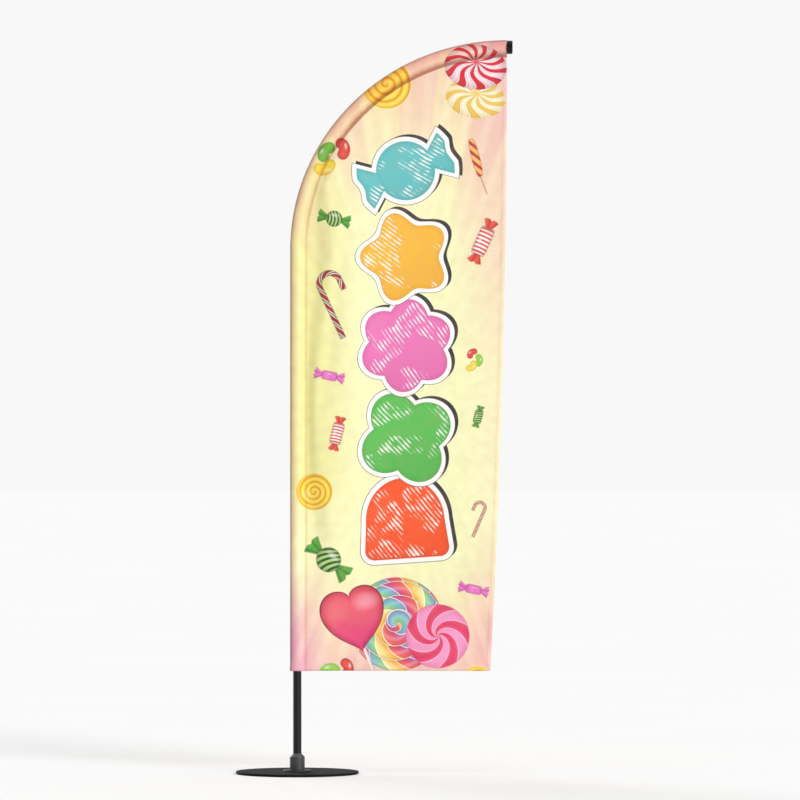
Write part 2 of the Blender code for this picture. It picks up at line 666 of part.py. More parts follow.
def build_flag(materials, frame):
    """The sleeve around the pole, open at both ends, and the cloth along its inner side."""
    line = pole_line(FLAG_BOTTOM, STRAIGHT_STEPS)
    width = SLEEVE_HALF_WIDTH
    depth = SLEEVE_HALF_DEPTH
    outside = [oval(p, n, width, depth, SLEEVE_SIDES) for p, n in line]
    inside = [oval(p, n, width - SLEEVE_CLOTH, depth - SLEEVE_CLOTH, SLEEVE_SIDES) for p, n in line]
    sleeve = loft_mesh("sleeve", outside + inside[::-1], closed=True)
    place("sleeve", sleeve, materials["sleeve_cloth"], frame)
    seam = [point - normal * (width + FIT_GAP) for point, normal in line]
    top = seam[-1].z
    steps = 12
    falls = [(step + 1) / steps for step in range(steps)]
    edge = [(CURVE_REACH - FREE_EDGE_DRAW_IN * fall**2, top - (top - FLAG_BOTTOM) * fall) for fall in falls]
    outline = [(point.x, point.z) for point in seam] + edge
    panel = extruded_mesh("flag_panel", outline, PANEL_THICKNESS)
    place("flag_panel", panel, materials["printed_cloth"], frame)


def sleeve_inside(aside):
    """How far the sleeve's faceted inside reaches along X, at a distance aside from its middle plane."""
    facet = cos(pi / SLEEVE_SIDES)
    width = (SLEEVE_HALF_WIDTH - SLEEVE_CLOTH) * facet
    depth = (SLEEVE_HALF_DEPTH - SLEEVE_CLOTH) * facet
    return width * (1 - (aside / depth) ** 2) ** 0.5


def build_tension_hook(materials, frame, lower_tube):
    """A hook band riveted to the lower tube, and the webbing tab that the sleeve hangs its pull on."""
    bore = POLE_RADIUS + FIT_GAP
    band = bore + CLIP_WALL
    clip_mesh = turned_mesh("tension_hook", ring_profile(bore, band, CLIP_HEIGHT), SMALL_SIDES)
    clip = place("tension_hook", clip_mesh, materials["black_plastic"], frame, (0, 0, CLIP_BASE))
    tab_back = bore + FIT_GAP
    tab_front = tab_back + TAB_THICKNESS
    lip_back = tab_front + FIT_GAP
    lip_front = lip_back + NOSE_LIP_THICKNESS
    root = bore + CLIP_WALL / 2
    nose_outline = [
        (root, 0.0),
        (lip_back, 0.0),
        (lip_back, NOSE_ROOT_HEIGHT - NOSE_LIP_DROP),
        (lip_front, NOSE_ROOT_HEIGHT - NOSE_LIP_DROP),
        (lip_front, NOSE_ROOT_HEIGHT),
        (root, NOSE_ROOT_HEIGHT),
    ]
    nose = extruded_mesh("hook_nose", nose_outline, NOSE_WIDTH)
    add_boolean(clip, make_helper("hook_nose", nose, frame, (0, 0, CLIP_BASE)), "UNION")
    rivet_hole = build_rivet(materials, frame, band)
    add_boolean(clip, rivet_hole, "DIFFERENCE")
    add_boolean(lower_tube, rivet_hole, "DIFFERENCE")
    build_tab(materials, frame, tab_back, (band**2 - tab_back**2) ** 0.5 + FIT_GAP)


def build_rivet(materials, frame, band):
    """The rivet through the band and the tube's wall, on the side away from the nose, and its hole."""
    turn = Matrix.Rotation(-pi / 2, 4, "Y")
    middle = (0, 0, CLIP_BASE + CLIP_HEIGHT / 2)
    shank = RIVET_DIAMETER / 2
    head = RIVET_HEAD_DIAMETER / 2
    seat = band + FIT_GAP
    tail = POLE_RADIUS - TUBE_WALL - FIT_GAP
    profile = [
        (0.0, tail),
        (shank, tail),
        (shank, seat),
        (head, seat),
        (head * RIVET_CROWN, seat + RIVET_HEAD_HEIGHT),
        (0.0, seat + RIVET_HEAD_HEIGHT),
    ]
    rivet_mesh = turned_mesh("hook_rivet", profile, HOLE_SIDES)
    rivet_mesh.transform(turn)
    place("hook_rivet", rivet_mesh, materials["zinc_steel"], frame, middle)
    hole = rod_profile(shank + FIT_GAP, tail - CUT_OVERRUN, band + CUT_OVERRUN)
    hole_mesh = turned_mesh("rivet_hole", hole, HOLE_SIDES)
    hole_mesh.transform(turn)
    return make_helper("rivet_hole", hole_mesh, frame, middle)


def build_tab(materials, frame, back, half_window):
    """The webbing tab: a strip sewn inside the sleeve, whose looped foot is caught under the nose."""
    half_width = half_window + TAB_SIDE
    front = back + TAB_THICKNESS
    sewn_front = sleeve_inside(half_width) - FIT_GAP
    sewn_back = sewn_front - TAB_THICKNESS
    foot = -FIT_GAP - TAB_FOOT
    top = foot + TAB_LENGTH
    sewn = top - TAB_SEWN_HEIGHT
    bend = sewn - TAB_BEND_HEIGHT
    outline = [
        (back, foot),
        (front, foot),
        (front, bend),
        (sewn_front, sewn),
        (sewn_front, top),
        (sewn_back, top),
        (sewn_back, sewn),
        (back, bend),
    ]
    tab_mesh = extruded_mesh("tension_tab", outline, 2 * half_width)
    tab = place("tension_tab", tab_mesh, materials["black_webbing"], frame, (0, 0, CLIP_BASE))
    near = back - CUT_OVERRUN
    far = front + CUT_OVERRUN
    window_outline = [(near, -FIT_GAP), (far, -FIT_GAP), (far, TAB_WINDOW), (near, TAB_WINDOW)]
    window_mesh = extruded_mesh("tab_window", window_outline, 2 * half_window)
    add_boolean(tab, make_helper("tab_window", window_mesh, frame, (0, 0, CLIP_BASE)), "DIFFERENCE")


def main():
    clear_scene()
    materials = {name: make_material(name) for name in MATERIALS}
    base = make_frame("base_frame")
    rotor = make_frame("rotor_frame", base)
    frames = {
        "base": base,
        "rotor": rotor,
        "lower_cage": make_frame("lower_cage_frame", base),
        "upper_cage": make_frame("upper_cage_frame", base),
        "pole": make_frame("pole_frame", rotor),
    }
    build_foot(materials, frames["base"])
    build_spindle(materials, frames["base"])
    build_bearing("lower", LOWER_BEARING, materials, frames)
    build_bearing("upper", UPPER_BEARING, materials, frames)
    build_collar(materials, frames["rotor"])
    build_spigot(materials, frames["rotor"])
    lower_tube = build_tubes(materials, frames["pole"])
    build_rod(materials, frames["pole"])
    build_cap(materials, frames["pole"])
    build_flag(materials, frames["pole"])
    build_tension_hook(materials, frames["pole"], lower_tube)


main()
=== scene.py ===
from math import atan2, cos, exp, pi, radians, sin, sqrt, tau

import bmesh
import bpy
import numpy as np
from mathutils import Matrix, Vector, noise


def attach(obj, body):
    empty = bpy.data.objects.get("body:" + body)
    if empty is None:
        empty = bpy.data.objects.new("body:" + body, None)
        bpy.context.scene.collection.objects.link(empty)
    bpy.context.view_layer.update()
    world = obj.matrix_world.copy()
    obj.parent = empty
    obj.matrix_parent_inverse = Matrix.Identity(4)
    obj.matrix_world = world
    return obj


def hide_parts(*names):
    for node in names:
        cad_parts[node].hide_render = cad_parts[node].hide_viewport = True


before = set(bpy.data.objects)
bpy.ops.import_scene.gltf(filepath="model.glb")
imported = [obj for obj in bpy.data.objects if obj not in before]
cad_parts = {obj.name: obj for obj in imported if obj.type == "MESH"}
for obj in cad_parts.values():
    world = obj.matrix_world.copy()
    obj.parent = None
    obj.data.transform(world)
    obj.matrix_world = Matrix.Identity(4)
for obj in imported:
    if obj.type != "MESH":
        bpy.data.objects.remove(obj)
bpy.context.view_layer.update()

# The line that the pole and the sleeve follow: straight up, then a quarter of an ellipse.
FLAG_BOTTOM = 0.322
CURVE_START = 1.640
CURVE_REACH = 0.656
CURVE_RISE = 0.634
# The sleeve around it.
SLEEVE_HALF_WIDTH = 0.0225
SLEEVE_HALF_DEPTH = 0.0178
SLEEVE_TOP_HALF_DEPTH = 0.0150
SLEEVE_CLOTH = 0.0005
SEAM_ALLOWANCE = 0.009
SEAM_HALF_GAP = 0.0010
SLEEVE_HEM = 0.018
ROUND_POINTS = 26
FLAP_POINTS = 6
SLEEVE_STEP = 0.0065
# The sail.
SAIL_CLOTH = 0.0005
HEM_CLOTH = 0.0014
SIDE_HEM = 0.013
BOTTOM_HEM = 0.016
FREE_EDGE_DRAW_IN = 0.052
SAIL_INSET = 0.0022
SAIL_COLUMNS = 84
SAIL_STRAIGHT_ROWS = 190
SAIL_CURVED_ROWS = 92
# How far its folds and waves stand off its plane.
PULL_DEPTH = 0.0185
SLACK_DEPTH = 0.0055
BILLOW_DEPTH = 0.0085
DRAPE_DEPTH = 0.0060
EDGE_DEPTH = 0.0085
CORNER_DEPTH = 0.0050
DIAGONAL_DEPTH = 0.0024
# The thread.
STITCH_LENGTH = 0.0028
STITCH_PITCH = 0.0044
THREAD = 0.00055
SEAM_STEP = 0.010
# How sharp the edges of the print are.
PRINT_EDGE = 0.0014
# How far apart the threads of the cloth's knit are.
WEAVE = 0.0016
# The size that the baked picture of a cloth piece covers, a little over the flag's own.
PRINT_WIDTH = 0.72
PRINT_HEIGHT = 2.40
PRINT_LEFT = -0.03
# The room. A sun is given by the way to it, its strength and its spread in degrees.
FLOOR_HALF = 60.0
WORLD_SEEN = 0.94
WORLD_FELT = 0.42
SUNS = {
    "key": ((0.62, -0.72, 0.32), 1.64, 26.0),
    "top": ((0.05, 0.05, 1.0), 1.00, 70.0),
    "rear": ((-0.45, 0.80, 0.40), 1.10, 40.0),
}
# The camera, with its lens and its sensor's width in millimetres.
CAMERA_PLACE = (0.3215, -19.48, 1.170)
CAMERA_LENS = 280.0
CAMERA_SENSOR = 36.0
CAMERA_CLIP = 200.0


# ---- nodes

def rgb(red, green, blue):
    """A colour in the usual 0 to 255 steps, as the linear colour that a node holds."""
    steps = [c / 255 for c in (red, green, blue)]
    linear = [c / 12.92 if c <= 0.04045 else ((c + 0.055) / 1.055) ** 2.4 for c in steps]
    return (*linear, 1.0)


def feed(tree, socket, value):
    """Gives a socket a constant, or links a field or a socket to it."""
    if isinstance(value, Field):
        value = value.socket
    if isinstance(value, bpy.types.NodeSocket):
        tree.links.new(value, socket)
    else:
        socket.default_value = value


def add_node(tree, kind, *first, **named):
    """A new shader node, with its first inputs and its named ones fed."""
    node = tree.nodes.new("ShaderNode" + kind)
    for place, value in enumerate(first):
        feed(tree, node.inputs[place], value)
    for name, value in named.items():
        feed(tree, node.inputs[name.replace("_", " ")], value)
    return node


class Field:
    """A number that varies over a surface. Arithmetic on it adds Math nodes to the material."""

    def __init__(self, tree, socket):
        self.tree = tree
        self.socket = socket

    def math(self, operation, *others):
        node = add_node(self.tree, "Math", self, *others)
        node.operation = operation
        return Field(self.tree, node.outputs[0])

    def clamped(self):
        """Kept from 0 to 1."""
        return Field(self.tree, add_node(self.tree, "Clamp", self).outputs[0])

    def __add__(self, other):
        return self.math("ADD", other)

    def __sub__(self, other):
        return self.math("SUBTRACT", other)

    def __mul__(self, other):
        return self.math("MULTIPLY", other)

    def __neg__(self):
        return self.math("MULTIPLY", -1.0)

    def scaled(self, factor, shift):
        """This times factor, plus shift."""
        return self.math("MULTIPLY_ADD", factor, shift)

    def ramp(self, start, end):
        """Runs from 0 where this is start to 1 where it is end, and stays there beyond."""
        return self.scaled(1 / (end - start), -start / (end - start)).clamped()

    def size(self):
        return self.math("ABSOLUTE")

    def part(self):
        """What is left of it after its whole number."""
        return self.math("FRACT")

    def sine(self):
        return self.math("SINE")

    def least(self, other):
        return self.math("MINIMUM", other)

    def most(self, other):
        return self.math("MAXIMUM", other)

    def angle(self, across):
        """The angle whose rise is this field and whose run is across."""
        return self.math("ARCTAN2", across)


def length_of(u, v):
    """How far (u, v) is from the origin."""
    return v.scaled(v, u * u).math("SQRT")


def inside(distance, edge=PRINT_EDGE):
    """1 where a distance to a shape is negative and 0 outside, with a soft edge."""
    return distance.scaled(-1 / edge, 0.5).clamped()


def mixed(tree, share, below, above, way="MIX"):
    """The colour below with a share of the colour above laid on it."""
    node = add_node(tree, "Mix")
    node.data_type = "RGBA"
    node.blend_type = way
    for place, value in ((0, share), (6, below), (7, above)):
        feed(tree, node.inputs[place], value)
    return node.outputs[2]


def dyed(tree, share, below, tone):
    """The colour below darkened by a share of a tone, multiplied in: how the sleeve's painted shade is
    laid.
    """
    return mixed(tree, share, below, tone, "MULTIPLY")


def noise_field(tree, vector, scale, detail=2.0, roughness=0.5):
    """A smooth random field from 0 to 1, with about scale bumps in a metre."""
    node = add_node(tree, "TexNoise", vector, Scale=scale, Detail=detail, Roughness=roughness)
    return Field(tree, node.outputs[0])


def parts_of(tree, vector):
    """The three numbers that a vector holds."""
    return [Field(tree, part) for part in add_node(tree, "SeparateXYZ", vector).outputs]


def object_place(tree, stretch=1.0):
    """The place on the object, with patterns drawn out along z where stretch is under 1."""
    place = add_node(tree, "TexCoord").outputs["Object"]
    if stretch == 1.0:
        return place
    return add_node(tree, "Mapping", place, Scale=(1.0, 1.0, stretch)).outputs[0]


def bump(tree, height, distance, strength=1.0, **under):
    """A normal that shows a field as relief, over another normal if one is given."""
    node = add_node(tree, "Bump", Strength=strength, Distance=distance, Height=height, **under)
    return node.outputs["Normal"]


def new_material(name):
    """An empty node material and its tree."""
    material = bpy.data.materials.new(name)
    material.use_nodes = True
    material.node_tree.nodes.clear()
    return material, material.node_tree


def finish(material, **looks):
    """Gives a material its Principled shader, with looks naming the inputs that are set or linked."""
    tree = material.node_tree
    shader = add_node(tree, "BsdfPrincipled", **looks)
    add_node(tree, "OutputMaterial", shader.outputs[0])
    return material


# ---- the print

class Print:
    """The picture on the cloth, shape over shape. x runs across it and z up it, in metres."""

    def __init__(self, tree, x, z, ground):
        self.tree = tree
        self.x = x
        self.z = z
        self.colour = ground

    def lay(self, mask, colour, strength=1.0):
        """Lays a colour over what is there, where mask is above 0."""
        share = mask if strength == 1.0 else mask * strength
        self.colour = mixed(self.tree, share, self.colour, colour)

    def over(self, body):
        """A way to lay colours on one shape only."""
        return lambda mask, colour, strength=1.0: self.lay(body * mask, colour, strength)

    def spot(self, centre, tilt=0.0):
        """The place seen from a shape's own centre, with its own u axis turned by tilt degrees."""
        along = cos(radians(tilt))
        up = sin(radians(tilt))
        shift_u = -centre[0] * along - centre[1] * up
        shift_v = centre[0] * up - centre[1] * along
        u = self.x.scaled(along, self.z.scaled(up, shift_u))
        v = self.x.scaled(-up, self.z.scaled(along, shift_v))
        return u, v

    def flat(self):
        """The place on the cloth as a vector."""
        return add_node(self.tree, "CombineXYZ", self.x, self.z).outputs[0]

    def draw(self, shape, *facts):
        """Draws one shape with its nodes in a group of their own."""
        inner = bpy.data.node_groups.new(shape.__name__, "ShaderNodeTree")
        for socket, kind in (("X", "Float"), ("Z", "Float"), ("Below", "Color")):
            inner.interface.new_socket(name=socket, in_out="INPUT", socket_type="NodeSocket" + kind)
        inner.interface.new_socket(name="Colour", in_out="OUTPUT", socket_type="NodeSocketColor")
        given = inner.nodes.new("NodeGroupInput")
        x, z, below, *_ = given.outputs
        part = Print(inner, Field(inner, x), Field(inner, z), below)
        shape(part, *facts)
        result = inner.nodes.new("NodeGroupOutput")
        inner.links.new(part.colour, result.inputs[0])
        node = add_node(self.tree, "Group")
        node.node_tree = inner
        for socket, value in zip(node.inputs, (self.x, self.z, self.colour)):
            feed(self.tree, socket, value)
        self.colour = node.outputs[0]

    def draw_each(self, shape, *rows):
        """Draws a shape once for each row of its facts."""
        for facts in rows:
            self.draw(shape, *facts)


WHITE = rgb(253, 250, 246)
RED = rgb(232, 84, 72)
DEEP_RED = rgb(158, 34, 40)
GREEN = rgb(112, 186, 72)
DEEP_GREEN = rgb(46, 92, 48)
LEAF = rgb(84, 168, 62)
YELLOW = rgb(250, 224, 84)
DEEP_YELLOW = rgb(214, 164, 40)
ORANGE = rgb(250, 178, 84)
PINK = rgb(232, 118, 196)
DEEP_PINK = rgb(178, 62, 142)


def background(art):
    """Soft yellow in the middle, pink rays at the top right and the foot, peach by the free edge, and
    painted shade of the folds as an olive tone near the sleeve.
    """
    x, z = art.x, art.z
    # Painted shade: the folds near the sleeve shown as an olive tone over the left of the cloth, from
    # about 0.70 to 2.05 high.
    left = x.ramp(0.20, 0.08) * z.ramp(0.70, 0.95) * z.ramp(2.05, 1.80)
    art.lay(left, rgb(238, 232, 154), 0.80)
    art.lay(z.ramp(1.75, 2.10), rgb(246, 222, 180), 0.80)
    art.lay(x.ramp(0.47, 0.64) * z.ramp(1.25, 1.75), rgb(240, 194, 182), 0.80)
    art.lay(x.ramp(0.54, 0.64), rgb(250, 224, 196), 0.45)
    art.lay(z.ramp(2.02, 2.30) * x.ramp(0.28, 0.60), rgb(240, 186, 192), 0.80)
    art.lay(z.ramp(0.64, 0.36), rgb(246, 214, 178), 0.75)
    art.lay(z.ramp(0.56, 0.30), rgb(244, 186, 192), 0.70)
    art.lay(z.ramp(0.70, 0.36) * x.ramp(0.10, -0.02), rgb(222, 140, 196), 0.75)
    art.lay(z.ramp(0.80, 0.45) * x.ramp(0.50, 0.62), rgb(240, 178, 176), 0.60)
    across = x.scaled(1.5, -0.34 * 1.5)
    rise = z - 1.16
    ray = rise.angle(across).scaled(17.0, 0.9).sine()
    far = length_of(across, rise)
    art.lay(far.ramp(0.55, 1.10) * ray.ramp(-0.1, 0.25), rgb(236, 160, 184), 0.42)
    fine = rise.angle(across).scaled(61.0, 0.2).sine()
    art.lay(far.ramp(0.10, 0.90) * fine.ramp(-0.2, 0.8), rgb(255, 250, 206), 0.20)
    art.lay(far.ramp(0.20, 0.90) * fine.ramp(0.1, -0.9), rgb(240, 214, 168), 0.14)


def peppermint(art, centre, across, squash, tilt, arms, twist, pale, bright, line):
    """A round boiled sweet with curved stripes that run out from its middle."""
    u, v = art.spot(centre, tilt)
    v = v.scaled(1 / squash, -across * 0.22)
    far = length_of(u, v + across * 0.22)
    reach = length_of(u, v)
    curl = (reach * (twist / across)).sine()
    wave = curl.scaled(2.4, v.angle(u) * arms).sine()
    body = inside(far - across)
    shade = art.over(body)
    art.lay(body, pale)
    shade(wave.ramp(0.25, 0.42), bright)
    shade((wave - 0.30).size().ramp(0.20, 0.06), line, 0.85)
    shade((wave + 0.62).size().ramp(0.16, 0.02), line, 0.45)
    shade(reach.ramp(across * 0.20, across * 0.02), bright, 0.9)
    shade(far.ramp(across * 0.66, across * 1.04), line, 0.45)


def round_spiral(art, centre, radius, turns, tilt, first, second, line):
    """A flat round sweet wound from one thick strand, with thin darker lines between turns."""
    u, v = art.spot(centre, tilt)
    far = length_of(u, v)
    winding = v.angle(u).scaled(1 / tau, far * (turns / radius)).part()
    body = inside(far - radius)
    shade = art.over(body)
    edge = (winding - 0.5).size()
    art.lay(far.ramp(radius * 1.10, radius * 0.96), rgb(254, 236, 120), 0.70)
    art.lay(body, first)
    shade(edge.ramp(0.32, 0.10), second)
    shade(edge.ramp(0.30, 0.46), line, 0.90)
    shade(far.ramp(radius * 0.84, radius * 1.0), line, 0.60)
    glow = length_of(u + radius * 0.35, v - radius * 0.35)
    art.lay(glow.ramp(radius * 0.40, 0.0), rgb(255, 244, 170), 0.40)


# Where each colour of the rope stands across its twist, and the colour.
ROPE_BANDS = [
    (0.00, 160, 205, 84), (0.14, 120, 198, 170), (0.27, 116, 176, 208), (0.33, 150, 120, 180),
    (0.36, 196, 84, 148), (0.50, 232, 84, 110), (0.64, 240, 112, 84), (0.68, 250, 172, 62),
    (0.82, 252, 212, 104), (0.98, 253, 236, 170),
]


def rope_disc(art, centre, radius, turns):
    """A round sweet coiled from a twisted rope of many colours, with pale lines between strands."""
    u, v = art.spot(centre, 100.0)
    far = length_of(u, v)
    around = v.angle(u) * (1 / tau)
    winding = around + far * (turns / radius)
    across = winding.part()
    travel = winding - across - around
    pitch = radius / turns
    strands = pi * pitch / 0.135
    twist = (travel * travel).scaled(strands, across * 0.34).part()
    node = add_node(art.tree, "ValToRGB", twist)
    stops = node.color_ramp.elements
    while len(stops) < len(ROPE_BANDS):
        stops.new(0.5)
    for stop, (place, *_) in zip(stops, ROPE_BANDS):
        stop.position = place
    for stop, (_, *colour) in zip(stops, ROPE_BANDS):
        stop.color = rgb(*colour)
    body = inside(far - radius)
    shade = art.over(body)
    art.lay(body, node.outputs[0])
    side = (across - 0.5).size()
    shade(side.ramp(0.28, 0.50), rgb(150, 60, 50), 0.42)
    shade(side.ramp(0.22, 0.0), WHITE, 0.20)
    seam = ((twist * 3.0).part() - 0.5).size()
    shade(seam.ramp(0.45, 0.48), WHITE, 0.85)
    shade(side.ramp(0.462, 0.492), WHITE, 0.70)
    shade(far.ramp(radius * 0.93, radius * 1.01), rgb(150, 60, 50), 0.30)


def pinwheel(art, centre, radius, arms, twist):
    """A round sweet of two pinks, whose arms wind in towards its middle."""
    u, v = art.spot(centre)
    far = length_of(u, v)
    wave = far.math("POWER", 0.5).scaled(twist / radius ** 0.5, v.angle(u) * arms).sine()
    body = inside(far - radius)
    shade = art.over(body)
    art.lay(inside(far - radius * 1.02), rgb(214, 60, 110), 0.7)
    art.lay(body, rgb(250, 172, 208))
    shade(wave.ramp(0.05, -0.35), rgb(236, 132, 186), 0.5)
    shade(wave.ramp(-0.02, 0.14), rgb(232, 78, 116))
    shade(wave.ramp(0.45, 1.0), rgb(214, 40, 92), 0.45)
    shade((wave + 0.10).size().ramp(0.12, 0.02), rgb(255, 226, 236), 0.85)
    shade(far.ramp(radius * 0.82, radius * 1.0), rgb(196, 40, 96), 0.30)


def bean(art, centre, size, tilt, colour, deep):
    """A kidney-shaped jelly sweet, bent round an arc, with its rim in shade and a bright spot."""
    u, v = art.spot(centre, tilt)
    half = size * 0.245
    bend = size * 0.340
    sweep = radians(50.0)
    rise = v + (bend - size * 0.06)
    side = u.size()
    ring = (length_of(u, rise) - bend).size()
    sector = side.scaled(cos(sweep), rise * -sin(sweep))
    end = length_of(side - bend * sin(sweep), rise - bend * cos(sweep))
    far = ring.most(sector + half).least(end) - half
    body = inside(far)
    art.lay(inside(far - size * 0.025), deep, 0.8)
    art.lay(body, colour)
    art.lay(body * far.ramp(-half * 0.75, 0.0), deep, 0.50)
    glow = length_of(u + half * 0.4, rise.scaled(2.2, -bend * 2.2 - half * 0.7))
    art.lay(glow.ramp(half * 0.80, half * 0.25), WHITE, 0.50)


def wrapped(art, centre, span, tilt, body_size, stripe, slant, curl, tones):
    """A sweet in a twisted wrapper: a striped body between two plain flared ends."""
    u, v = art.spot(centre, tilt)
    half, high = body_size
    light, dark, colour, deep = tones
    beyond = u.size() - half * 0.82
    fan = span / 2 - half * 0.82
    spread = v.size() - beyond.scaled(0.58, high * 0.18)
    notch = (v * (2.9 / high)).sine().size().scaled(-fan * 0.20, -fan * 0.84)
    wings = spread.most(beyond + notch).most(-beyond)
    wings = wings.most(length_of(u, v) - span / 2)
    art.lay(inside(wings - 0.0018), deep, 0.55)
    paper = inside(wings)
    art.lay(paper, colour)
    pleat = (v.angle(beyond + half * 0.2) * 11.0).sine()
    art.lay(paper * pleat.ramp(0.1, 0.9), deep, 0.55)
    art.lay(paper * beyond.ramp(fan * 0.45, 0.0), deep, 0.60)
    round_end = u * (high / half)
    far = length_of(round_end, v)
    power = far if half <= high * 1.1 else (round_end.size().most(v.size() * 0.96)).most(far * 0.78)
    body = inside(power - high)
    shade = art.over(body)
    band = v.scaled(sin(slant) * tau / stripe, u * (cos(slant) * tau / stripe))
    bow = v * v * (curl * tau / stripe / high)
    wave = (band + bow).sine()
    art.lay(inside(power - (high + 0.0016)), deep, 0.7)
    art.lay(body, light)
    shade(wave.ramp(-0.10, 0.20), dark)
    shade(power.ramp(high * 0.60, high * 1.05), deep, 0.50)
    glow = length_of(u * 0.7, v.scaled(1.6, -high * 0.75))
    art.lay(glow.ramp(high * 0.50, high * 0.10), WHITE, 0.45)


def stick(art, centre, size, tilt, colour, deep):
    """A straight plain stick."""
    u, v = art.spot(centre, tilt)
    width, long = size
    off = (u.size() - width / 2).most(v.size() - long / 2)
    art.lay(inside(off - 0.0012), deep, 0.7)
    body = inside(off)
    art.lay(body, colour)
    art.lay(body * u.ramp(-width * 0.10, width * 0.52), deep, 0.50)


def twisted_stick(art, centre, size, tilt, pitch, colour, second):
    """A stick of sugar twisted from two colours, narrower at its ends."""
    u, v = art.spot(centre, tilt)
    width, long = size
    waist = (v.size() * (2 / long)).math("POWER", 2.6).scaled(-0.55 * width / 2, width / 2)
    wave = v.scaled(tau / pitch, u * (tau / pitch * 1.3)).sine()
    edge = u.size() - waist - wave.size() * (width * 0.06)
    off = edge.most(v.size() - long / 2)
    art.lay(inside(off - 0.0014), DEEP_RED, 0.6)
    body = inside(off)
    shade = art.over(body)
    art.lay(body, colour)
    shade(wave.ramp(0.15, 0.40), second)
    shade((wave + 0.75).size().ramp(0.25, 0.05), rgb(255, 226, 150), 0.8)
    shade(off.ramp(-width * 0.22, 0.0), DEEP_RED, 0.35)


def cane(art, centre, radius, width, pitch, foot, hook, tilt, turn, tones):
    """A crook-topped stick of sugar with slanting stripes. centre is the middle of its crook."""
    u, v = art.spot(centre, tilt)
    u = u * turn
    pale, bright, line = tones
    off = length_of(u, v.most(0.0)) - radius
    far = off.size() - width / 2
    far = far.most(v.scaled(-1.0, -foot))
    far = far.most(v.scaled(-1.0, -hook).least(-u))
    lean = -tau / pitch * 1.9
    shaft = v.scaled(tau / pitch, off * lean)
    crook = v.angle(u).scaled(radius * tau / pitch, off * lean)
    bend = v.ramp(-0.001, 0.001)
    wave = (shaft * bend.scaled(-1.0, 1.0) + crook * bend).sine()
    art.lay(inside(far - 0.0015), line, 0.75)
    body = inside(far)
    shade = art.over(body)
    art.lay(body, pale)
    shade(wave.ramp(-0.30, -0.05), bright)
    shade((wave + 1.0).ramp(0.26, 0.08), line, 0.95)
    shade(off.size().ramp(width * 0.22, width * 0.52), line, 0.40)


def heart(art, centre, size, tilt):
    """A heart-shaped boiled sweet."""
    u, v = (way * (1 / size) for way in art.spot(centre, tilt))
    lift = u.size().math("SQRT").scaled(-0.62, v * 1.12)
    far = length_of(u, lift)
    body = inside(far - 1.0, 0.016)
    shade = art.over(body)
    art.lay(inside(far - 1.040, 0.016), rgb(134, 24, 56))
    art.lay(body, rgb(232, 96, 112))
    shade(v.ramp(0.5, -0.9), rgb(222, 44, 132), 0.90)
    shade(far.ramp(0.76, 1.0), rgb(176, 30, 70), 0.60)
    shine = length_of(u - 0.50, v.scaled(1.5, -1.00))
    shade(shine.ramp(0.50, 0.16), rgb(250, 176, 190), 0.55)
    dim = length_of(u + 0.52, v.scaled(1.1, -0.62))
    shade(dim.ramp(0.52, 0.05), rgb(242, 136, 138), 0.42)


# The five big sweets down the middle stand where the photographed flag has its lettering.
OUTLINE = 0.014
DROP = 0.011
SCRIBBLE = 0.0115


def bow_distance(u, v, size):
    """A sweet in a wrapper: a round body and two flared ends."""
    ball = length_of(u, v) - 0.66 * size
    beyond = u.size() - 0.50 * size
    flare = v.size() - beyond.scaled(0.80, 0.12 * size)
    wave = (v * (10.0 / size) + pi / 2).sine().scaled(0.030 * size, -0.54 * size)
    round_corners = length_of(u, v) - 1.10 * size
    fans = flare.most(beyond + wave).most(-beyond).most(round_corners)
    return ball.least(fans)


def star_distance(u, v, size):
    """A soft five-pointed star."""
    wave = (v.angle(u) * 5.0).sine()
    return length_of(u, v) + wave.scaled(-0.13 * size, -0.87 * size)


def petal_distance(petals, depth, turn):
    """A round shape with full petals and sharp creases, such as a flower or a clover."""
    def distance(u, v, size):
        wave = v.angle(u).scaled(petals / 2, turn).sine().size()
        return length_of(u, v) + wave.scaled(-depth * size, -size * (1 - depth))
    return distance


def dome_distance(u, v, size):
    """A sugar drop: a domed top over a flat foot with rounded corners."""
    top = length_of(u, v.most(0.0) * 0.92) + v.least(0.0).scaled(0.10, -0.92 * size)
    foot = v.scaled(-1.0, -0.88 * size)
    corner = length_of((top + 0.25 * size).most(0.0), (foot + 0.25 * size).most(0.0))
    return top.most(foot).most(corner - 0.25 * size)


def bold_sweet(art, shape, size, centre, tilt, colour, deep):
    """One big sweet with a dropped shadow, a broad white outline and a white scribble."""
    u, v = art.spot((centre[0] + DROP, centre[1] + DROP * 0.7), tilt)
    art.lay(inside(shape(u, v, size) - OUTLINE), rgb(62, 60, 62))
    u, v = art.spot(centre, tilt)
    far = shape(u, v, size)
    art.lay(inside(far - (OUTLINE + 0.0022)), rgb(84, 78, 74), 0.9)
    art.lay(inside(far - OUTLINE), WHITE)
    body = inside(far)
    shade = art.over(body)
    art.lay(body, colour)
    shade(far.ramp(-0.018, 0.0), deep, 0.25)
    shade(v.ramp(0.02, -0.14), deep, 0.18)
    flat = art.flat()
    wobble = noise_field(art.tree, flat, 9.0, 2.0)
    stroke = v.scaled(0.58 / SCRIBBLE, u.scaled(0.81 / SCRIBBLE, wobble * 1.1)).part()
    taper = noise_field(art.tree, flat, 34.0, 1.0)
    thin = (stroke - 0.5).size() + taper.scaled(0.9, -0.45)
    patch = wobble.ramp(0.50, 0.55) * inside(far + 0.006)
    art.lay(thin.ramp(0.15, 0.07) * patch, WHITE, 0.85)


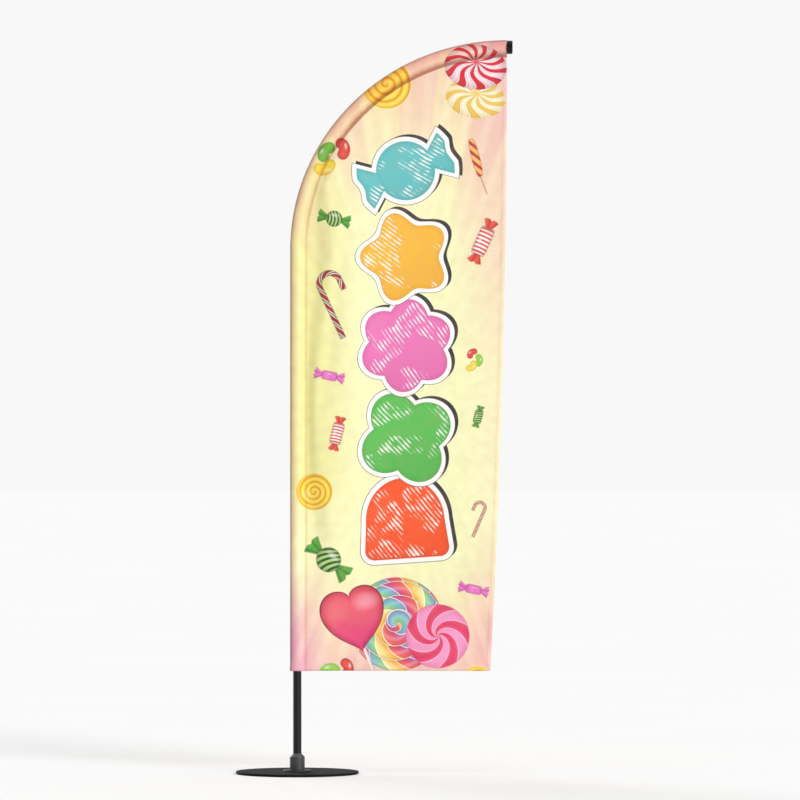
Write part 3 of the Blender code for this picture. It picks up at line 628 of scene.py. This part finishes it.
def draw_bold_sweets(art):
    clover = petal_distance(4.0, 0.30, pi / 4)
    flower = petal_distance(6.0, 0.20, 0.3)
    art.draw_each(
        bold_sweet,
        (dome_distance, 0.134, (0.338, 0.792), 4.0, rgb(250, 92, 48), rgb(176, 40, 20)),
        (clover, 0.150, (0.341, 1.052), 8.0, rgb(96, 188, 88), rgb(40, 120, 50)),
        (flower, 0.146, (0.341, 1.340), 0.0, rgb(233, 120, 182), rgb(170, 50, 120)),
        (star_distance, 0.142, (0.338, 1.618), 18.0, rgb(243, 184, 66), rgb(200, 120, 30)),
        (bow_distance, 0.140, (0.339, 1.888), 24.0, rgb(104, 192, 192), rgb(40, 120, 136)),
    )


def draw_beans(art):
    light_green = rgb(158, 206, 84)
    art.draw_each(
        bean,
        ((0.101, 0.326), 0.062, 12.0, light_green, GREEN),
        ((0.157, 0.331), 0.060, -80.0, RED, DEEP_RED),
        ((0.088, 1.948), 0.066, 55.0, GREEN, LEAF),
        ((0.144, 1.957), 0.066, -80.0, RED, DEEP_RED),
        ((0.087, 1.896), 0.068, 200.0, YELLOW, DEEP_YELLOW),
        ((0.546, 1.317), 0.036, 45.0, RED, DEEP_RED),
        ((0.569, 1.294), 0.038, -95.0, light_green, GREEN),
        ((0.547, 1.275), 0.038, 225.0, YELLOW, DEEP_YELLOW),
    )


def draw_wrapped(art):
    green = (rgb(178, 214, 130), DEEP_GREEN, LEAF, DEEP_GREEN)
    red = (WHITE, RED, RED, DEEP_RED)
    pink = (rgb(236, 132, 204), PINK, PINK, DEEP_PINK)
    art.draw_each(
        wrapped,
        ((0.1153, 1.737), 0.104, -13.0, (0.024, 0.024), 0.0105, 0.2, 0.3, green),
        ((0.098, 0.670), 0.160, -42.0, (0.038, 0.038), 0.0160, 2.57, 0.25, green),
        ((0.581, 1.667), 0.146, 66.0, (0.043, 0.021), 0.0125, 0.0, 0.08, red),
        ((0.1245, 1.065), 0.108, 77.0, (0.032, 0.0165), 0.0095, 0.0, 0.08, red),
        ((0.566, 1.118), 0.068, 75.0, (0.019, 0.0115), 0.0070, 0.3, 0.2, green),
        ((0.1004, 1.246), 0.096, -12.0, (0.022, 0.0125), 0.0200, 0.4, 0.3, pink),
        ((0.5515, 0.5775), 0.096, -12.0, (0.022, 0.0125), 0.0200, 0.4, 0.3, pink),
    )


def draw_sugar_sticks(art):
    string = rgb(206, 150, 120)
    art.draw(stick, (0.5835, 1.8435), (0.0022, 0.060), 20.6, string, string)
    art.draw(twisted_stick, (0.5584, 1.929), (0.023, 0.120), 14.6, 0.034, ORANGE, rgb(190, 62, 74))
    red_tones = (rgb(246, 240, 228), rgb(172, 44, 50), rgb(66, 70, 58))
    faint_tones = (rgb(250, 236, 206), rgb(206, 120, 110), rgb(124, 84, 84))
    art.draw(cane, (0.1015, 1.534), 0.033, 0.0165, 0.0400, 0.172, 0.034, 24.9, -1.0, red_tones)
    art.draw(cane, (0.571, 0.8335), 0.0165, 0.0080, 0.0200, 0.092, 0.016, -23.5, 1.0, faint_tones)


def draw_round_sweets(art):
    lemon = (rgb(252, 246, 214), rgb(240, 200, 92), rgb(206, 160, 60))
    cherry = (rgb(252, 228, 232), rgb(224, 44, 62), rgb(150, 26, 44))
    gold = (rgb(249, 206, 58), rgb(253, 226, 104), rgb(222, 150, 36))
    art.draw(peppermint, (0.558, 2.115), 0.094, 0.66, -8.0, 10.0, 3.9, *lemon)
    art.draw(peppermint, (0.558, 2.2125), 0.098, 0.72, -6.0, 11.0, 4.3, *cherry)
    art.draw(round_spiral, (0.279, 2.159), 0.076, 3.2, 20.0, *gold)
    art.draw(round_spiral, (0.053, 0.883), 0.056, 3.4, 60.0, *gold)
    art.draw(round_spiral, (0.5625, 0.290), 0.046, 2.4, 10.0, *gold)
    art.draw(rope_disc, (0.312, 0.468), 0.147, 3.3)
    art.draw(pinwheel, (0.439, 0.4305), 0.0987, 5.0, 14.0)
    art.draw(stick, (0.2245, 0.354), (0.009, 0.084), 20.8, rgb(250, 236, 226), rgb(190, 140, 130))
    art.draw(heart, (0.1835, 0.4650), 0.0975, 14.5)


def flag_print():
    """The whole picture as one node group, with a painted shade of the folds near the sleeve, read from
    each point's place on the flat cloth.
    """
    group = bpy.data.node_groups.new("flag_print", "ShaderNodeTree")
    group.interface.new_socket(name="Colour", in_out="OUTPUT", socket_type="NodeSocketColor")
    x, z, _ = parts_of(group, flat_place(group))
    art = Print(group, x, z, rgb(246, 245, 192))
    art.draw(background)
    draw_round_sweets(art)
    draw_beans(art)
    draw_wrapped(art)
    draw_sugar_sticks(art)
    draw_bold_sweets(art)
    result = group.nodes.new("NodeGroupOutput")
    group.links.new(art.colour, result.inputs[0])
    return group


def flat_place(tree, name="Flat"):
    """A UV map: Flat is the place on the cut cloth, and Round the place on the sleeve's outline."""
    node = add_node(tree, "UVMap")
    node.uv_map = name
    return node.outputs[0]


def sleeve_tint(tree, colour):
    """Painted shade on the sleeve: browner at its outer fold and its seam, pinker near the outer fold,
    a slight peach where it bends and browner towards the seam there.
    """
    across, bend, _ = parts_of(tree, flat_place(tree, "Round"))
    curve = bend.ramp(0.02, 0.45)
    # Painted shade, multiplied in: slight peach where it bends, pink then brownish mauve towards the
    # outer fold, brown towards the seam in the bend, a little darker over the seam allowance.
    colour = dyed(tree, curve, colour, rgb(252, 242, 232))
    colour = dyed(tree, across.ramp(0.48, 0.16), colour, rgb(238, 216, 224))
    colour = dyed(tree, across.ramp(0.22, 0.0), colour, rgb(158, 132, 144))
    colour = dyed(tree, across.ramp(0.50, 0.80) * curve, colour, rgb(200, 166, 158))
    return dyed(tree, across.ramp(0.78, 0.84), colour, rgb(246, 240, 236))


def cloth_material(name, picture, on_sleeve):
    """Printed knitted polyester: the picture, with painted shade on the sleeve, a faint weave and soft
    creases.
    """
    material, tree = new_material(name)
    node = add_node(tree, "Group")
    node.node_tree = picture
    colour = node.outputs[0]
    # On the sleeve, painted shade is multiplied into the picture.
    if on_sleeve:
        colour = sleeve_tint(tree, colour)
    flat = flat_place(tree)
    mottle = noise_field(tree, flat, 24.0, 3.0)
    x, z, _ = parts_of(tree, flat)
    weave = bump(tree, (x * (tau / WEAVE)).sine() * (z * (tau / WEAVE)).sine(), 0.0001, 0.25)
    creases = noise_field(tree, flat, 30.0, 4.0, 0.6)
    return finish(
        material,
        Base_Color=mixed(tree, mottle.ramp(0.60, 0.36) * 0.09, colour, rgb(190, 150, 120)),
        Roughness=mottle.scaled(0.16, 0.52),
        Sheen_Weight=0.10,
        Sheen_Roughness=0.4,
        Specular_IOR_Level=0.25,
        Normal=bump(tree, creases, 0.0018, 0.6, Normal=weave),
    )


# ---- the rest of the materials

def hard_material(name, colour, second, roughness, spread, scale, grain, height, **fixed):
    """A hard finish: two close tones in soft patches, uneven gloss and a fine grain."""
    material, tree = new_material(name)
    place = object_place(tree)
    patches = noise_field(tree, place, scale, 4.0, 0.6)
    streaks = noise_field(tree, place, scale * 3.1, 3.0)
    return finish(
        material,
        Base_Color=mixed(tree, patches.ramp(0.35, 0.68), colour, second),
        Roughness=streaks.scaled(spread, roughness - spread / 2),
        Normal=bump(tree, noise_field(tree, place, grain, 2.0), height, 0.6),
        **fixed,
    )


def turned_material(name, colour, second, roughness, ring):
    """Machined metal: fine rings round its axis, with a little haze."""
    material, tree = new_material(name)
    place = object_place(tree)
    x, y, z = parts_of(tree, place)
    haze = noise_field(tree, place, 160.0, 3.0)
    rings = (length_of(x, y) + z).scaled(tau / ring, haze * 3.0).sine()
    return finish(
        material,
        Base_Color=mixed(tree, haze.ramp(0.35, 0.7), colour, second),
        Roughness=rings.scaled(0.05, roughness),
        Normal=bump(tree, rings, 0.00004, 0.5),
        Metallic=1.0,
    )


def drawn_material(name, colour, second, roughness, metallic, specular=0.5):
    """A drawn tube: long faint streaks along it, over an even dark finish."""
    material, tree = new_material(name)
    streaks = noise_field(tree, object_place(tree, 0.02), 900.0, 3.0)
    marks = noise_field(tree, object_place(tree), 22.0, 4.0, 0.6)
    return finish(
        material,
        Base_Color=mixed(tree, streaks.ramp(0.3, 0.75), colour, second),
        Roughness=marks.scaled(0.18, roughness - 0.09),
        Normal=bump(tree, streaks, 0.00003, 0.5),
        Metallic=metallic,
        Specular_IOR_Level=specular,
    )


def webbing_material(name, colour, second):
    """Woven strap: crossing ribs of dull thread."""
    material, tree = new_material(name)
    place = object_place(tree)
    x, _, z = parts_of(tree, place)
    weave = (x * (tau / 0.0016)).sine() * (z * (tau / 0.0022)).sine()
    fuzz = noise_field(tree, place, 1400.0, 3.0)
    return finish(
        material,
        Base_Color=mixed(tree, weave.ramp(-0.6, 0.8), colour, second),
        Roughness=fuzz.scaled(0.2, 0.72),
        Normal=bump(tree, weave + fuzz * 0.5, 0.0003, 0.7),
        Sheen_Weight=0.2,
    )


def fibre_material(name, colour, second):
    """Pultruded glass-fibre rod: dark resin with long pale glints of fibre."""
    material, tree = new_material(name)
    strands = noise_field(tree, object_place(tree, 0.03), 1800.0, 3.0, 0.7)
    return finish(
        material,
        Base_Color=mixed(tree, strands.ramp(0.55, 0.75), colour, second),
        Roughness=strands.scaled(0.2, 0.26),
        Normal=bump(tree, strands, 0.00004, 0.5),
        Coat_Weight=0.4,
        Coat_Roughness=0.18,
    )


def thread_material(name):
    """Sewing thread: twisted strands, slightly shiny."""
    material, tree = new_material(name)
    twist = noise_field(tree, object_place(tree), 2600.0, 2.0)
    return finish(
        material,
        Base_Color=mixed(tree, twist.ramp(0.3, 0.7), rgb(206, 190, 178), rgb(240, 232, 222)),
        Roughness=twist.scaled(0.2, 0.45),
        Normal=bump(tree, twist, 0.0001, 0.5),
    )


def slot_materials():
    """The finish of each of the CAD nodes' material slots."""
    hard = {
        "pad_rubber": (rgb(24, 24, 25), rgb(36, 36, 37), 0.88, 0.12, 60.0, 1500.0, 0.0004),
        "plate_paint": (rgb(24, 24, 25), rgb(31, 31, 32), 0.66, 0.16, 18.0, 900.0, 0.0002),
        "flange_paint": (rgb(38, 38, 39), rgb(50, 50, 51), 0.42, 0.16, 40.0, 1100.0, 0.00015),
        "collar_paint": (rgb(58, 58, 59), rgb(68, 68, 69), 0.40, 0.14, 50.0, 1400.0, 0.0001),
        "cap_gloss": (rgb(7, 7, 8), rgb(11, 11, 12), 0.30, 0.08, 60.0, 600.0, 0.00003),
        "hook_plastic": (rgb(22, 22, 23), rgb(34, 34, 35), 0.44, 0.12, 90.0, 1800.0, 0.00008),
        "cage_plastic": (rgb(214, 204, 176), rgb(228, 220, 196), 0.46, 0.12, 120.0, 1600.0, 0.00006),
    }
    shine = {
        "plate_paint": {"Specular_IOR_Level": 0.06},
        "collar_paint": {"Coat_Weight": 0.2, "Coat_Roughness": 0.3},
        "cap_gloss": {"Specular_IOR_Level": 0.14, "Coat_Weight": 0.12, "Coat_Roughness": 0.10},
    }
    turned = {
        "zinc_screw": (rgb(186, 186, 178), rgb(208, 204, 186), 0.30, 0.0006),
        "zinc_steel": (rgb(182, 184, 182), rgb(204, 202, 190), 0.32, 0.0007),
        "bright_steel": (rgb(196, 196, 194), rgb(224, 224, 222), 0.20, 0.0005),
        "ball_steel": (rgb(214, 214, 214), rgb(230, 230, 230), 0.09, 0.0009),
        "ferrule_metal": (rgb(150, 150, 150), rgb(176, 176, 174), 0.30, 0.0005),
    }
    drawn = {
        "spigot_metal": (rgb(170, 171, 172), rgb(196, 197, 198), 0.32, 1.0),
        "tube_black": (rgb(14, 14, 15), rgb(23, 23, 25), 0.38, 0.10, 0.32),
    }
    return {
        **{slot: hard_material(slot, *facts, **shine.get(slot, {})) for slot, facts in hard.items()},
        **{slot: turned_material(slot, *facts) for slot, facts in turned.items()},
        **{slot: drawn_material(slot, *facts) for slot, facts in drawn.items()},
        "rod_fibre": fibre_material("rod_fibre", rgb(26, 26, 28), rgb(70, 70, 72)),
        "webbing": webbing_material("webbing", rgb(20, 20, 21), rgb(46, 46, 48)),
    }


def paint_frame():
    """Gives each CAD node that stays in view the finish of its own slot."""
    finishes = slot_materials()
    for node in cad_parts.values():
        for place in node.material_slots:
            plain = place.material.name if place.material else ""
            for slot, material in finishes.items():
                if plain.startswith(slot):
                    place.material = material


# ---- the cloth's shape

def line_stations(step):
    """Places along the pole's line: their position, the outward direction and the length so far."""
    straight = CURVE_START - FLAG_BOTTOM
    low = np.linspace(FLAG_BOTTOM, CURVE_START, round(straight / step), endpoint=False)
    bend = np.linspace(0, pi / 2, round(pi / 2 * (CURVE_REACH + CURVE_RISE) / 2 / step))
    x = np.concatenate([np.zeros(len(low)), CURVE_REACH * (1 - np.cos(bend))])
    z = np.concatenate([low, CURVE_START + CURVE_RISE * np.sin(bend)])
    out_x = np.concatenate([-np.ones(len(low)), -np.cos(bend) / CURVE_REACH])
    out_z = np.concatenate([np.zeros(len(low)), np.sin(bend) / CURVE_RISE])
    size = np.hypot(out_x, out_z)
    travel = np.concatenate([[0], np.cumsum(np.hypot(np.diff(x), np.diff(z)))])
    curved = np.concatenate([np.zeros(len(low)), bend / (pi / 2)])
    return x, z, out_x / size, out_z / size, travel, curved


def rough(a, b, c):
    """Smooth repeatable unevenness, from about -1 to 1."""
    return noise.noise(Vector((a, b, c)))


def smooth(value, low, high):
    """Rises smoothly from 0 at low to 1 at high."""
    t = min(max((value - low) / (high - low), 0.0), 1.0)
    return t * t * (3 - 2 * t)


def free_x(z, top):
    """Where the free edge is at a height: below the tip, and drawn in towards the foot."""
    fall = (top - z) / (top - FLAG_BOTTOM)
    return CURVE_REACH - FREE_EDGE_DRAW_IN * fall * fall


def sail_depth(x, z, share):
    """How far the sail stands off its plane. share is 0 at the sleeve and 1 at the free edge."""
    loose = smooth(share, 0.0, 0.35)
    low = smooth(z, 1.15, 0.45)
    high = smooth(z, 2.25, 1.9)
    crease = 0.058 + 0.026 * sin(tau * (z - 1.40))
    fold = smooth(x, crease + 0.030, crease - 0.028) - smooth(x, 0.30, crease + 0.030)
    pull = PULL_DEPTH * fold * smooth(share, 0.0, 0.05) * smooth(z, 0.50, 0.85) * smooth(z, 2.05, 1.80)
    slack = SLACK_DEPTH * exp(-(((x - 0.118 + 0.12 * (1.45 - z)) / 0.022) ** 2))
    pull += slack * smooth(share, 0.0, 0.08) * smooth(z, 1.10, 1.30) * smooth(z, 1.75, 1.55)
    billow = BILLOW_DEPTH * sin(3.4 * z + 2.2 * x + 0.6) * loose * high
    drape = DRAPE_DEPTH * sin(9.5 * x - 2.4 * z + 0.8) * loose * high
    edge = EDGE_DEPTH * sin(10.5 * z + 5 * x + 0.4) * smooth(share, 0.45, 1.0) * low
    near_corner = smooth(share, 0.5, 1.0) * smooth(z, 0.9, 0.5)
    corner = CORNER_DEPTH * sin(38 * (x * 0.80 - z * 0.60) + 1.0) * near_corner
    near_seam = exp(-(((x - 0.12) / 0.16) ** 2)) * low * loose
    diagonal = DIAGONAL_DEPTH * sin(58 * (x * 0.5 + z * 0.86)) * near_seam
    grain = 0.0022 * rough(x * 7, z * 4, 3.7) * loose + 0.0007 * rough(x * 26, z * 17, 9.1) * loose
    return pull + billow + drape + edge + corner + diagonal + grain


def sheet_mesh(name, front, back, flat, around=None):
    """A closed thin body from two grids of points, front and back, joined round their rims."""
    rows, columns = front.shape[:2]
    points = np.concatenate([front.reshape(-1, 3), back.reshape(-1, 3)])
    half = rows * columns
    at = np.arange(half).reshape(rows, columns)
    quads = []
    for a, b, d, e in zip(at[:-1, :-1].flat, at[:-1, 1:].flat, at[1:, 1:].flat, at[1:, :-1].flat):
        quads += [(a, b, d, e), (half + a, half + e, half + d, half + b)]
    rim = list(at[0, :]) + list(at[1:, -1]) + list(at[-1, -2::-1]) + list(at[-2:0:-1, 0])
    for here, there in zip(rim, rim[1:] + rim[:1]):
        quads.append((there, here, half + here, half + there))
    mesh = bpy.data.meshes.new(name)
    mesh.from_pydata([tuple(p) for p in points], [], [tuple(int(i) for i in q) for q in quads])
    add_map(mesh, "Flat", flat)
    if around is not None:
        add_map(mesh, "Round", around)
    add_map(mesh, "OFBake", (flat - [PRINT_LEFT, 0.0]) / [PRINT_WIDTH, PRINT_HEIGHT])
    return mesh


def add_map(mesh, name, grid):
    """Writes a UV map from the grid of places that front and back share."""
    places = np.tile(grid.reshape(-1, 2), (2, 1))
    corners = np.zeros(len(mesh.loops), dtype=np.int32)
    mesh.loops.foreach_get("vertex_index", corners)
    layer = mesh.uv_layers.new(name=name)
    layer.data.foreach_set("uv", places[corners].astype(np.float32).ravel())


def sail_rows(top):
    """Heights of the sail's rows, close together at the foot's hem and near the top."""
    hem = [0.0, BOTTOM_HEM * 0.5, BOTTOM_HEM - 0.0012, BOTTOM_HEM]
    low = np.linspace(BOTTOM_HEM + 0.006, CURVE_START - FLAG_BOTTOM, SAIL_STRAIGHT_ROWS)
    lean = np.linspace(0.0, 1.0, SAIL_CURVED_ROWS)[1:]
    rise = np.sin(lean * pi / 2) * (top - CURVE_START) + CURVE_START - FLAG_BOTTOM
    return np.concatenate([hem, low, rise]) + FLAG_BOTTOM


def sail_grid():
    """Rows of points over the sail: flat places, the cloth's thickness, and how far along the row."""
    inner = SLEEVE_HALF_WIDTH + SAIL_INSET
    reach = CURVE_REACH - inner
    climb = CURVE_RISE - inner
    top = CURVE_START + climb
    heights = sail_rows(top)
    flat, thick, share = [], [], []
    for z in heights:
        lift = min(max((z - CURVE_START) / climb, 0.0), 1.0)
        start = CURVE_REACH - reach * sqrt(1 - lift * lift)
        end = max(free_x(z, top), start + 0.003)
        width = end - start
        hem = min(SIDE_HEM, width * 0.4)
        field = np.linspace(start, end - hem, SAIL_COLUMNS)
        last = [end - hem + hem * 0.09, end - hem * 0.5, end]
        xs = np.concatenate([field, last])
        in_side_hem = xs > end - hem + hem * 0.05
        in_foot_hem = z < FLAG_BOTTOM + BOTTOM_HEM - 0.0006
        flat.append([(x, z) for x in xs])
        thick.append([HEM_CLOTH if in_foot_hem or s else SAIL_CLOTH for s in in_side_hem])
        share.append((xs - start) / width)
    return np.array(flat), np.array(thick), np.array(share)


def build_sail():
    """The sail, and its flat places, its middle surface and its facing as grids."""
    flat, thick, share = sail_grid()
    middle = np.array([
        [(x, sail_depth(x, z, part), z) for (x, z), part in zip(places, parts)]
        for places, parts in zip(flat, share)
    ])
    facing = grid_facing(middle)
    facing[facing[:, :, 1] > 0] *= -1
    offset = facing * (thick / 2)[:, :, None]
    mesh = sheet_mesh("sail", middle + offset, middle - offset, flat)
    return add_object("sail", mesh, "pole"), flat, middle, facing


def scene_object(name, data):
    """A new object in the scene that holds a mesh, a light or a camera."""
    item = bpy.data.objects.new(name, data)
    bpy.context.scene.collection.objects.link(item)
    return item


def add_object(name, mesh, body):
    """A soft-shaded object that rides on a body."""
    mesh.validate()
    for face in mesh.polygons:
        face.use_smooth = True
    item = scene_object(name, mesh)
    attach(item, body)
    return item


def sleeve_section(half_depth, pinch):
    """One side of the sleeve's outline from its outer edge to its seam's end, as places out and deep.
    pinch is 0 where the tension tab fills it, and larger where it runs to a sharper edge."""
    turn = np.linspace(0.0, pi, ROUND_POINTS)
    out = SLEEVE_HALF_WIDTH * np.cos(turn)
    deep = np.sin(turn) * np.cos(turn / 2) ** pinch
    deep = deep / deep.max() * half_depth
    floor = SEAM_HALF_GAP * np.array([smooth(t, 1.2, 2.6) for t in turn])
    deep = np.sqrt(deep * deep + floor * floor)
    deep[0] = 0.0
    flap = -SLEEVE_HALF_WIDTH - np.linspace(0.0015, SEAM_ALLOWANCE, FLAP_POINTS)
    return np.concatenate([out, flap]), np.concatenate([deep, np.full(FLAP_POINTS, SEAM_HALF_GAP)])


def sleeve_pucker(travel, side, share, curved):
    """How far the sleeve stands out: puckers inside the bend and long soft folds."""
    inner = smooth(share, 0.42, 0.72) * (1 - smooth(share, 0.84, 0.90))
    bend = smooth(curved, 0.05, 0.35)
    small = sin(travel * tau / 0.026 + 2.4 * rough(travel * 9, side, 0.3))
    pucker = 0.0012 * small * inner * bend * (0.6 + 0.6 * rough(travel * 14, side * 2.0, 5.5))
    folds = 0.0009 * rough(travel * 9, share * 3 + side * 7, 1.7)
    fine = 0.0004 * rough(travel * 60, share * 6 + side * 3, 8.2)
    free = smooth(share, 0.0, 0.12) * (1 - smooth(share, 0.70, 0.84))
    return pucker + (folds + fine) * free


def sleeve_row(x, z, out_x, out_z, travel, curved):
    """The sleeve's outline at one station, from seam edge to seam edge: points, flat places, shares."""
    depth = SLEEVE_HALF_DEPTH + (SLEEVE_TOP_HALF_DEPTH - SLEEVE_HALF_DEPTH) * curved
    out, deep = sleeve_section(depth, 0.55 * smooth(travel, 0.13, 0.30))
    last = len(out) - 1
    hem = SLEEVE_CLOTH * 1.4 * (1 - smooth(travel, SLEEVE_HEM - 0.001, SLEEVE_HEM))
    points, places, shares = [], [], []
    for step in range(-last, last + 1):
        k = abs(step)
        side = 1 if step > 0 else -1
        share = k / last
        lift = sleeve_pucker(travel, side, share, curved) + hem
        around = atan2(deep[k] * 1.2, out[k]) if k < ROUND_POINTS else pi / 2
        away = out[k] + lift * cos(around)
        off = max(deep[k] + lift * sin(around), SEAM_HALF_GAP) if k else 0.0
        points.append((x + out_x * away, side * off, z + out_z * away))
        places.append((x + out_x * out[k], z + out_z * out[k]))
        shares.append((share, curved))
    return points, places, shares


def build_sleeve():
    """A tube of cloth round the pole, its two edges lying over the sail and sewn through."""
    stations = line_stations(SLEEVE_STEP)
    x, z, _, _, travel, _ = stations
    outer, flat, around = (np.array(grid) for grid in zip(*(sleeve_row(*s) for s in zip(*stations))))
    facing = grid_facing(outer)
    centre = np.stack([x, np.zeros(len(x)), z], axis=1)[:, None, :]
    if np.median(((outer - centre) * facing).sum(axis=2)) < 0:
        facing = -facing
    inner = outer - facing * SLEEVE_CLOTH
    mesh = sheet_mesh("sleeve_skin", outer, inner, flat, around)
    skin = add_object("sleeve_skin", mesh, "pole")
    widths = np.linalg.norm(np.diff(outer, axis=1), axis=2).sum(axis=1)
    area = float(((widths[1:] + widths[:-1]) / 2 * np.diff(travel)).sum())
    return skin, float(widths.max()), float(travel[-1]), area


def grid_facing(points):
    """Which way a grid of points faces, as unit vectors."""
    facing = np.cross(np.gradient(points, axis=1), np.gradient(points, axis=0))
    return facing / np.maximum(np.linalg.norm(facing, axis=2, keepdims=True), 1e-12)


def fix_winding(item):
    """Turns the faces outward if the closed body came out inside out."""
    shape = bmesh.new()
    shape.from_mesh(item.data)
    bmesh.ops.recalc_face_normals(shape, faces=shape.faces)
    if shape.calc_volume(signed=True) < 0:
        bmesh.ops.reverse_faces(shape, faces=shape.faces)
    shape.to_mesh(item.data)
    shape.free()


# ---- thread

def stitch_points(start, end, facing, lift):
    """The six corners of one stitch, a slim spindle that lies on the cloth."""
    along = end - start
    side = np.cross(along, facing)
    side /= np.linalg.norm(side)
    middle = (start + end) / 2 + facing * lift
    half = THREAD / 2
    ring = [middle + way * half for way in (side, facing, -side, -facing)]
    return [start, *ring, end]


STITCH_FACES = [(0, 2, 1), (0, 3, 2), (0, 4, 3), (0, 1, 4), (5, 1, 2), (5, 2, 3), (5, 3, 4), (5, 4, 1)]


def stitch_row(points, faces, path, facings, lift):
    """Stitches along a path of points, each facing as the cloth does there."""
    steps = np.linalg.norm(np.diff(path, axis=0), axis=1)
    travel = np.concatenate([[0], np.cumsum(steps)])
    count = int(travel[-1] / STITCH_PITCH)
    for number in range(count):
        at = (number + 0.3) * STITCH_PITCH
        ends = [at, at + STITCH_LENGTH]
        if ends[1] > travel[-1]:
            break
        corners = [np.array([np.interp(e, travel, path[:, k]) for k in range(3)]) for e in ends]
        facing = np.array([np.interp(at, travel, facings[:, k]) for k in range(3)])
        facing /= np.linalg.norm(facing)
        first = len(points)
        points.extend(stitch_points(*corners, facing, lift))
        faces.extend([tuple(first + i for i in f) for f in STITCH_FACES])


def build_stitching(middle, facing):
    """Stitches on both faces: two rows on the sleeve's seam and one on each hem."""
    points, faces = [], []
    x, z, out_x, out_z, _, _ = line_stations(SEAM_STEP)
    for inset in (0.0032, 0.0068):
        far = -SLEEVE_HALF_WIDTH - inset
        for side in (-1, 1):
            lift = SEAM_HALF_GAP + 0.00005
            off = np.full(len(x), side * lift)
            path = np.stack([x + out_x * far, off, z + out_z * far], axis=1)[:-1]
            facings = np.tile([0.0, float(side), 0.0], (len(path), 1))
            stitch_row(points, faces, path, facings, 0.0001)
    column = middle.shape[1] - 3
    for side in (1, -1):
        path = middle[2:-4, column] + facing[2:-4, column] * side * HEM_CLOTH / 2
        stitch_row(points, faces, path, facing[2:-4, column] * side, 0.0001)
        path = middle[2, 4:-2] + facing[2, 4:-2] * side * HEM_CLOTH / 2
        stitch_row(points, faces, path, facing[2, 4:-2] * side, 0.0001)
    mesh = bpy.data.meshes.new("stitching")
    mesh.from_pydata([tuple(p) for p in points], [], faces)
    return add_object("stitching", mesh, "pole")


def build_cloth():
    """The sail, the sleeve and the stitching, each with its finish; the CAD flag panel and sleeve are
    hidden.
    """
    sail, flat, middle, facing = build_sail()
    fix_winding(sail)
    # The picture holds the print and a painted shade of the folds near the sleeve.
    picture = flag_print()
    sail.data.materials.append(cloth_material("flag_cloth_print", picture, False))
    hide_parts("flag_panel")
    skin, skin_width, skin_length, skin_area = build_sleeve()
    fix_winding(skin)
    # The sleeve's material carries painted shade over the picture.
    skin.data.materials.append(cloth_material("sleeve_cloth_print", picture, True))
    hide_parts("sleeve")
    stitching = build_stitching(middle, facing)
    fix_winding(stitching)
    stitching.data.materials.append(thread_material("thread"))


# ---- the room

def floor_material():
    """A pale, even, dull floor."""
    material, tree = new_material("studio_floor")
    tone = noise_field(tree, object_place(tree), 0.8, 2.0)
    return finish(
        material,
        Base_Color=mixed(tree, tone, rgb(244, 244, 244), rgb(247, 247, 247)),
        Roughness=0.95,
        Specular_IOR_Level=0.0,
    )


def build_room():
    half = FLOOR_HALF
    mesh = bpy.data.meshes.new("floor")
    corners = [(-half, -half, 0), (half, -half, 0), (half, half, 0), (-half, half, 0)]
    mesh.from_pydata(corners, [], [(0, 1, 2, 3)])
    mesh.materials.append(floor_material())
    floor = scene_object("floor", mesh)


def add_sun(name, direction, strength, spread):
    """A broad soft light from a direction, given from the object towards the light."""
    lamp = bpy.data.lights.new(name, "SUN")
    lamp.energy = strength
    lamp.angle = radians(spread)
    item = scene_object(name, lamp)
    item.rotation_mode = "QUATERNION"
    item.rotation_quaternion = Vector(direction).to_track_quat("Z", "Y")


def build_light():
    """A white world, brighter where it is seen than where it lights the flag, and the suns."""
    world = bpy.data.worlds.new("studio")
    bpy.context.scene.world = world
    world.use_nodes = True
    tree = world.node_tree
    tree.nodes.clear()
    white = (1.0, 1.0, 1.0, 1.0)
    felt = add_node(tree, "Background", white, WORLD_FELT)
    seen = add_node(tree, "Background", white, WORLD_SEEN)
    in_view = add_node(tree, "LightPath").outputs["Is Camera Ray"]
    either = add_node(tree, "MixShader", in_view, felt.outputs[0], seen.outputs[0])
    add_node(tree, "OutputWorld", either.outputs[0])
    for name, facts in SUNS.items():
        add_sun(name, *facts)


def build_camera():
    camera = bpy.data.cameras.new("camera")
    camera.lens = CAMERA_LENS
    camera.sensor_width = CAMERA_SENSOR
    camera.clip_end = CAMERA_CLIP
    item = scene_object("camera", camera)
    item.location = CAMERA_PLACE
    item.rotation_euler = (radians(90), 0.0, 0.0)
    bpy.context.scene.camera = item


def build_scene():
    bpy.context.scene.view_settings.view_transform = "Standard"
    build_camera()
    build_light()
    build_room()
    paint_frame()
    build_cloth()


build_scene()
